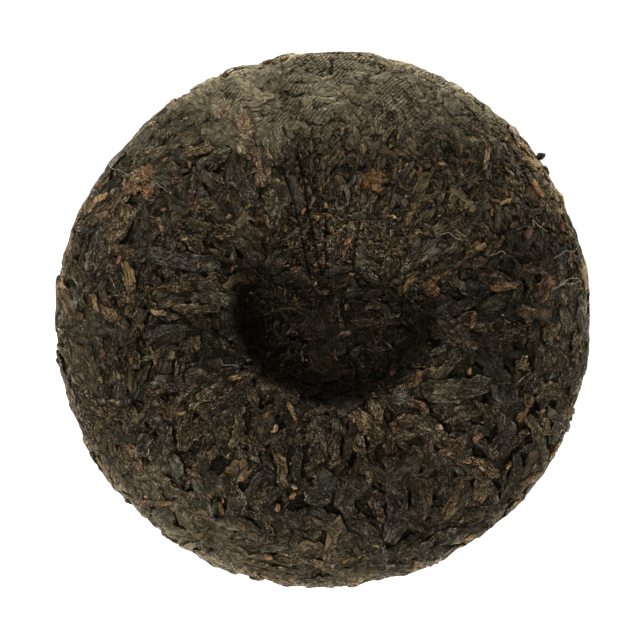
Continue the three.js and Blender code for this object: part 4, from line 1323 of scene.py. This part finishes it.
# Golden buds and pale scraps where the photo shows them: tone, pixel across and down, length and
# width in millimetres, and heading in degrees.
budSpots = [
    ("gold", 99, 203, 12, 3, 38), ("yellow", 181, 115, 2.4, 1.6, 20), ("gold", 204, 116, 2, 1.4, 60),
    ("orange", 167, 161, 3.4, 1.4, 30), ("gold", 192, 166, 2.6, 1.4, 120),
    ("orange", 165, 211, 2.6, 1.6, 10), ("orange", 163, 228, 4.4, 1.5, -52),
    ("yellow", 125, 214, 3.4, 1.8, 80), ("orange", 230, 218, 2.6, 2, 15),
    ("pink", 198, 203, 2.8, 1.8, 75), ("rust", 360, 97, 9, 2.2, 86), ("pink", 298, 106, 2.6, 1.8, 100),
    ("pink", 309, 106, 3.8, 1.4, 4), ("pink", 310, 132, 2.8, 1.6, 70), ("gold", 321, 190, 2.2, 1.2, 80),
    ("gold", 326, 206, 2.2, 1.4, 95), ("gold", 319, 219, 3, 1.8, 50), ("orange", 286, 229, 2.8, 1.8, 70),
    ("orange", 304, 212, 3, 1.4, 70), ("yellow", 277, 182, 3, 1.6, 170),
    ("yellow", 249, 207, 3.6, 1.5, 60), ("orange", 268, 64, 4.4, 1.8, 20),
    ("gold", 284, 60, 2.8, 1.8, 10), ("pink", 393, 73, 1.8, 1.2, 40), ("pink", 425, 100, 2, 1.4, 60),
    ("orange", 441, 166, 4, 1.7, 160), ("orange", 536, 189, 9, 3, 128), ("orange", 506, 139, 3, 1.8, 40),
    ("gold", 559, 199, 6.5, 1.8, 118), ("rust", 547, 170, 4, 1.6, 120),
    ("orange", 417, 233, 2.6, 1.8, 30), ("tan", 467, 206, 4.6, 2.6, 30),
    ("caramel", 561, 228, 3.4, 2, 100), ("tan", 511, 226, 3.2, 2, 60), ("gold", 97, 303, 8, 2.6, 118),
    ("gold", 161, 312, 7.2, 2.6, -18), ("yellow", 191, 240, 7.4, 1.6, 5),
    ("orange", 156, 356, 9, 1.6, -72), ("orange", 133, 360, 3, 1.8, 75),
    ("caramel", 105, 353, 3.6, 2.2, 80), ("yellow", 104, 379, 3.2, 2.2, 100),
    ("orange", 104, 409, 3.6, 1.4, 120), ("orange", 111, 419, 3.2, 1.4, 60),
    ("gold", 184, 412, 3.6, 1.8, 10), ("tan", 194, 342, 7, 4.6, -10), ("stone", 142, 316, 6.6, 3.8, 82),
    ("rust", 162, 390, 4.6, 2.2, -8), ("caramel", 82, 317, 4, 2.8, 80), ("pink", 122, 260, 3.6, 2, 70),
    ("pink", 235, 268, 5.6, 1.2, 56), ("orange", 298, 269, 3, 1.6, 30),
    ("yellow", 315, 284, 2.2, 1.4, 40), ("tan", 322, 292, 3.6, 2.4, 20),
    ("orange", 347, 307, 2.8, 1.4, 60), ("pink", 345, 334, 7, 3, 24), ("orange", 383, 320, 4, 1.3, 88),
    ("orange", 292, 410, 8, 2, -62), ("orange", 237, 376, 7.5, 2.2, 8),
    ("caramel", 416, 378, 7.6, 2.6, 74), ("pink", 394, 372, 4, 3, 40), ("orange", 503, 287, 12.5, 3.4, 8),
    ("orange", 472, 320, 6.8, 2.8, 70), ("orange", 468, 371, 3, 1.8, 80),
    ("yellow", 520, 365, 4.4, 2.6, 30), ("caramel", 431, 289, 6, 4.4, 50), ("tan", 525, 312, 6, 4, 30),
    ("gold", 540, 411, 2.6, 1.8, 50), ("gold", 542, 419, 2.2, 1.4, 90), ("gold", 102, 461, 5.6, 2.2, -50),
    ("rust", 147, 499, 5.6, 1.8, 0), ("orange", 167, 501, 6.4, 2, -4), ("orange", 222, 506, 5.2, 2, -58),
    ("orange", 243, 523, 4.8, 2, -50), ("orange", 202, 532, 2.8, 1.6, 40),
    ("yellow", 182, 536, 2.4, 1.4, 20), ("cream", 230, 454, 2.4, 1.2, 50),
    ("cream", 222, 483, 2, 1.4, 90), ("gold", 275, 427, 3.8, 2.4, 50), ("tan", 237, 423, 3.8, 1.4, 40),
    ("cream", 295, 485, 2.4, 1.8, 160), ("gold", 293, 494, 3.4, 2.4, 50),
    ("rust", 325, 443, 9.5, 1.8, -80), ("orange", 416, 563, 3.8, 1.5, 6), ("rust", 462, 477, 9, 2, 12),
    ("rust", 507, 464, 3.6, 2, 70), ("pink", 476, 436, 4.2, 3, 60), ("gold", 469, 536, 4.4, 2.2, 30),
    ("caramel", 515, 494, 4.6, 2.2, 60), ("rust", 553, 449, 4.2, 1.8, 60),
    ("cream", 461, 519, 1.8, 1.3, 30), ("rust", 526, 235, 4.6, 3.2, 70),
    ("caramel", 373, 182, 6.4, 4.2, -14), ("yellow", 471, 142, 3.4, 2.6, 60),
    ("pink", 326, 292, 2.6, 1.6, 60),
]
goldenBuds = {
    **anyLeaf, "seed": 26, "rows": 7, "columns": 9, "count": 90, "keepShare": topShare,
    "length": (1.2, 3.6), "width": (0.7, 1.5), "bend": (-25, 25), "level": (0.15, 0.35),
    "crown": (0.5, 0.8), "folds": (0.8, 1.6), "foldDepth": (-0.12, 0.12), "foldDrift": (-0.4, 0.4),
    "lean": (-0.1, 0.1), "dive": (0.7, 1), "blunt": (0.4, 0.9), "crumple": (0.08, 0.2),
    "shear": (-0.25, 0.25), "ragged": 0.25, "wiggle": 0.08, "warp": 0.45, "flatTo": 0.6,
    "cap": 1.2, "toneSpread": 0.2, "namedLevel": 0.55,
    "tones": {"gold": 0.25, "orange": 0.3, "pink": 0.15, "yellow": 0.1, "caramel": 0.2},
}


# The ends and edges of a bud or stem sink out of sight, so it is made this much longer and wider.
hidden = {"length": 1.1, "width": 1.15}


def growNamed(pieceName, spots, kind, material):
    named = []
    for tone, pixelX, pixelY, length, width, heading in spots:
        length, width = hidden["length"] * length, hidden["width"] * width
        row = (tone, *photoPlace(pixelX, pixelY), length, width, heading)
        named.append({**dict(zip(leafLabels, row)), "level": kind["namedLevel"]})
    growKind(pieceName, kind, np.random.default_rng(kind["seed"]), named, material)


growNamed("golden_buds", budSpots, goldenBuds, budSkin)

# Stems and twigs, placed as the buds are. Their ends are blunt.
stemSpots = [
    ("stone", 485, 160, 10, 2.2, 80), ("violetGrey", 502, 384, 13, 2.6, 88),
    ("violetGrey", 496, 220, 12, 2.6, 86), ("brown", 498, 243, 6.0, 1.8, 58),
    ("stone", 487, 251, 5.0, 1.4, 70), ("violetGrey", 459, 263, 9.0, 1.4, 42),
    ("oliveBrown", 188, 533, 12, 2.0, 48), ("brown", 470, 246, 7.0, 1.4, 28),
]
teaStems = {
    **anyLeaf, "seed": 27, "rows": 7, "columns": 7, "count": 26, "keepShare": topShare,
    "cellStretch": 4.0, "length": (4.5, 12), "width": (1.1, 2), "bend": (-22, 22),
    "level": (0, 0.35), "crown": (0.6, 0.9), "folds": (1.6, 2.6), "foldDepth": (-0.12, 0.12),
    "foldDrift": (-0.3, 0.3), "lean": (-0.1, 0.1), "dive": (0.7, 0.9), "blunt": (0.05, 0.1),
    "skew": (0.9, 1.1), "crumple": (0.02, 0.08), "shear": (-0.15, 0.15), "ragged": 0.06,
    "wiggle": 0.05, "warp": 0.25, "flatTo": 0.6, "cap": 1.1, "toneSpread": 0.2,
    "namedLevel": 0.35,
    "tones": {"brown": 0.4, "violetGrey": 0.3, "caramel": 0.2, "stone": 0.1},
}
growNamed("tea_stems", stemSpots, teaStems, leafSkin)

# Patches of matted flakes: tone, how pale, pixel across and down, reach in millimetres and how
# many.
flakePatches = [
    ("flake", 1.15, 148, 175, 2.8, 30), ("flake", 1.1, 141, 182, 3.4, 40),
    ("paleFlake", 1.1, 133, 184, 3.2, 14), ("flake", 1.1, 131, 189, 2.2, 18),
    ("flake", 1.15, 148, 193, 2, 16), ("paleFlake", 1.1, 146, 181, 4, 12),
    ("paleFlake", 1.05, 244, 119, 2.4, 20), ("flake", 1.05, 246, 124, 2.6, 12),
    ("paleFlake", 1.15, 246, 131, 2.9, 34), ("paleFlake", 1.1, 245, 142, 2.8, 28),
    ("cream", 1.1, 243, 152, 1.5, 7), ("paleFlake", 1.1, 222, 111, 3.4, 20),
    ("caramel", 1.25, 373, 182, 3.6, 30), ("caramel", 1.3, 432, 286, 3.2, 20),
    ("tan", 1.4, 523, 314, 3.4, 14), ("tan", 1.55, 521, 364, 2.7, 14), ("redBrown", 1.3, 196, 203, 3, 10),
    ("tan", 1.4, 194, 343, 2.4, 12),
]
mattedFlakes = {
    **anyLeaf, "seed": 28, "rows": 5, "columns": 5, "count": 1, "keepShare": topShare,
    "cellStretch": 2.4, "length": (1.6, 4.2), "width": (1.2, 2.6), "bend": (-60, 60),
    "level": (0.7, 0.95), "crown": (0.1, 0.25), "folds": (0.5, 1.5), "foldDepth": (-0.12, 0.12),
    "foldDrift": (-0.8, 0.8), "lean": (-0.12, 0.12), "dive": (0.4, 0.6), "blunt": (0.15, 0.6),
    "crumple": (0.06, 0.14), "shear": (-0.4, 0.4), "ragged": 0.3, "warp": 0.6, "flatTo": 0.72,
    "cap": 1.1, "toneSpread": 0.15, "tones": {"flake": 1},
}


def growPatches():
    draw = np.random.default_rng(mattedFlakes["seed"])
    named = []
    for tone, pale, pixelX, pixelY, reach, count in flakePatches:
        middleX, middleY = photoPlace(pixelX, pixelY)
        for _ in range(count):
            side, far = 2 * math.pi * draw.random(), reach * math.sqrt(draw.random())
            entry = {name: draw.uniform(*mattedFlakes[name]) for name in traitNames}
            entry.update({"x": middleX + far * math.cos(side), "y": middleY + far * math.sin(side),
                          "heading": draw.uniform(0, 360), "tone": tone,
                          "shade": pale * math.exp(mattedFlakes["toneSpread"] * draw.normal())})
            named.append(entry)
    growKind("matted_flakes", mattedFlakes, draw, named, budSkin)


growPatches()

topMap = mapTop([grown for grown, _ in grownPieces.values()])
for pieceName, (grown, material) in grownPieces.items():
    piece = finishPiece(pieceName, grown, material, topMap)
    if pieceName == "pressed_core":
        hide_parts("tea_cake")
print("pieces made")

# Lint left by the cloth, as pixels across and down that each fibre passes.
lintPaths = [
    [(107.6, 164.4), (116.5, 170.7), (128, 174), (137, 180), (146, 184), (157, 184), (165, 190),
     (169, 193)],
    [(119, 158), (116, 166), (112, 168)],
    [(551, 259), (556, 256), (562, 252), (571, 252), (576, 247), (580, 243)],
    [(550, 291), (558, 285), (569, 284), (577, 282), (577, 279), (570, 278), (564, 281), (557, 285)],
    [(532, 222), (536, 226), (541, 230), (545, 233)],
    [(488, 257), (493, 254), (500, 252), (503, 255)],
    [(370, 91), (378, 101), (384, 109), (390, 114)],
    [(220, 358), (225, 364), (232, 365), (239, 365)],
    [(433, 233), (440, 235), (447, 234), (455, 239), (462, 243)],
]
lint = {"radius": 0.06, "step": 0.8, "over": 0.85, "sides": 5, "colour": (176, 170, 152),
        "roughness": 0.8, "wave": 0.25, "waveX": 1.3, "waveY": 1.1}


# The two triangles of each quad in a strip, and where their corners lie on the texture sheet.
def splitQuads(a, b, c, d, left, right, low, high):
    low, high = low + 0 * left, high + 0 * left
    cells = [(left, low, right, low, right, high), (left, low, right, high, left, high)]
    corners = [np.stack(cell, -1).reshape(-1, 3, 2) for cell in cells]
    return list(zip((np.stack((a, b, c), -1), np.stack((a, c, d), -1)), corners))


def layLint():
    points, halves = [], []
    sides, wave = lint["sides"], lint["wave"]
    for row, path in enumerate(lintPaths):
        stops = np.array([photoPlace(pixelX, pixelY) for pixelX, pixelY in path])
        along = np.concatenate([[0], np.cumsum(np.hypot(*np.diff(stops, axis=0).T))])
        count = max(4, int(along[-1] / lint["step"]))
        share = np.linspace(0, along[-1], count)
        x, y = [np.interp(share, along, values) for values in stops.T]
        x = x + wave * np.sin(lint["waveX"] * share + row)
        y = y + wave * np.cos(lint["waveY"] * share)
        spine, up = settle(np.stack([x, y, topHeight(x, y)], -1))
        spine = spine + up * (heave(spine) + lint["over"])[:, None]
        ahead = unit(np.gradient(spine, axis=0))
        aside = unit(np.cross(ahead, up))
        over = np.cross(aside, ahead)
        start = sum(len(part) for part in points)
        step = np.arange(count - 1)
        left, right = step / count, (step + 1) / count
        for side in range(sides):
            turn = 2 * math.pi * side / sides
            points.append(spine + lint["radius"] * (aside * math.cos(turn) + over * math.sin(turn)))
            near, far = start + side * count + step, start + (side + 1) % sides * count + step
            low, high = [(k / sides + row) / len(lintPaths) for k in (side, side + 1)]
            halves += splitQuads(near, near + 1, far + 1, far, left, right, low, high)
    return np.concatenate(points), halves


# Makes a piece of points and the halves of its quads.
def makeFromHalves(name, points, halves, values, material):
    triangles, corners = [np.concatenate(parts) for parts in zip(*halves)]
    makePiece(name, keepInside(points), triangles, corners.reshape(-1, 2), values, material)


lintSkin = newMaterial("lintSkin", {"Base Color": (*linear(*lint["colour"]), 1),
                                    "Roughness": lint["roughness"]})
lintPoints, lintHalves = layLint()
makeFromHalves("lint_fibres", lintPoints, lintHalves, {}, lintSkin)

# Crumbs stuck to the rim: pixel across and down, height and size in millimetres.
rimCrumbSpots = [(540.5, 156.6, 11.6, 3.3), (58.4, 361, 10.5, 2.7), (309, 586.4, 9.5, 2.4)]
rimCrumbs = {"rows": 8, "columns": 12, "rough": 0.22, "roughScale": 1.1, "colour": (44, 42, 30)}


def makeRimCrumbs():
    points, halves = [], []
    rows, columns = rimCrumbs["rows"], rimCrumbs["columns"]
    column = np.arange(columns)
    rise = np.linspace(-1, 1, rows)[:, None] * math.pi / 2
    turn = column[None] * 2 * math.pi / columns
    ball = np.stack([np.cos(rise) * np.cos(turn), np.cos(rise) * np.sin(turn),
                     np.sin(rise) + 0 * turn], -1).reshape(-1, 3)
    for number, (pixelX, pixelY, height, size) in enumerate(rimCrumbSpots):
        x, y = photoPlace(pixelX, pixelY)
        bulge = 2 * swirl(ball * rimCrumbs["roughScale"] + 9 * number, 1.0, 15)
        bulge = 1 + rimCrumbs["rough"] * bulge
        points.append(np.array([x, y, height]) + 0.5 * size * ball * bulge[:, None])
        left, right = [((column + k) / columns + number) / len(rimCrumbSpots) for k in (0, 1)]
        for row in range(rows - 1):
            start = number * len(ball) + row * columns
            near, after = start + column, start + (column + 1) % columns
            quad = (near, after, after + columns, near + columns)
            pair = splitQuads(*quad, left, right, row / rows, (row + 1) / rows)
            # at the poles one half of each quad would have no area
            halves += pair[row == 0:2 - (row == rows - 2)]
    points = np.concatenate(points)
    values = {"tone": np.ones((len(points), 1)) * np.append(linear(*rimCrumbs["colour"]), 1),
              "leafPlace": points, "grit": np.ones(len(points))}
    values.update({name: np.zeros(len(points)) for name in ("sunk", "filmAndSheen", "pale")})
    makeFromHalves("rim_crumbs", points, halves, values, crumbSkin)


makeRimCrumbs()
print("lint and crumbs made")

# Floor, surround and lights. A light has its side and rise in degrees, its distance and size in
# metres and its watts.
studio = {"floorSize": 6.0, "floorGlow": 0.75, "floorTone": 0.86, "floorRoughness": 0.9,
          "surround": 0.14, "surroundSeen": 1.0,
          "horizon": 12.5, "horizonRise": 0.14, "horizonSide": (0.45, 0.3, 0.0)}
softLights = [
    ("back", 98, 30, 1.2, 0.6, 4.3), ("frontLeft", 226, 40, 1.2, 0.5, 6.0),
    ("left", 178, 36, 1.2, 0.5, 2.0), ("right", 2, 36, 1.2, 0.5, 1.5),
    ("front", 272, 40, 1.2, 0.5, 3.4), ("above", 0, 88, 1.5, 0.9, 1.0),
]


def buildFloor():
    size = studio["floorSize"]
    sheet = bpy.data.meshes.new("paleFloor")
    corners = [(-size, -size, 0), (size, -size, 0), (size, size, 0), (-size, size, 0)]
    sheet.from_pydata(corners, [], [(0, 1, 2, 3)])
    floor = bpy.data.objects.new("paleFloor", sheet)
    bpy.context.scene.collection.objects.link(floor)
    sheet.materials.append(newMaterial("palePaper", {
        "Base Color": (*[studio["floorTone"]] * 3, 1), "Roughness": studio["floorRoughness"],
        "Emission Color": (1, 1, 1, 1), "Emission Strength": studio["floorGlow"]}))


# The surround is white to the camera. It lights the cake mostly from low down, and more from the
# right and back.
def buildSurround():
    world = bpy.data.worlds.new("paleSurround")
    bpy.context.scene.world = world
    world.use_nodes = True
    tree = world.node_tree
    ray = addNode(tree, "ShaderNodeTexCoord").outputs["Generated"]
    height = addNode(tree, "ShaderNodeSeparateXYZ", {0: ray}).outputs["Z"]
    low = remap(tree, height, 0.0, studio["horizonRise"], studio["horizon"], 0.0)
    side = combine(tree, "DOT_PRODUCT", ray, studio["horizonSide"], output="Value")
    low = multiply(tree, low, calculate(tree, "ADD", side, 1.0))
    shed = calculate(tree, "ADD", low, studio["surround"])
    seen = addNode(tree, "ShaderNodeLightPath").outputs["Is Camera Ray"]
    shown = addNode(tree, "ShaderNodeMix", {0: seen, 2: shed, 3: studio["surroundSeen"]})
    feed(tree, tree.nodes["Background"], {"Color": (1, 1, 1, 1), "Strength": shown.outputs[0]})


def placeLights():
    for name, side, rise, far, size, watts in softLights:
        lamp = bpy.data.lights.new(name, "AREA")
        lamp.shape = "SQUARE"
        lamp.size = size
        lamp.energy = watts
        light = bpy.data.objects.new(name, lamp)
        side, rise = side * degree, rise * degree
        level = far * math.cos(rise)
        light.location = (level * math.cos(side), level * math.sin(side), far * math.sin(rise))
        light.rotation_euler = light.location.to_track_quat("Z", "Y").to_euler()
        bpy.context.scene.collection.objects.link(light)


buildFloor()
buildSurround()
placeLights()
bpy.context.scene.view_settings.view_transform = "Standard"
bpy.context.scene.view_settings.look = "None"
print("studio lit")
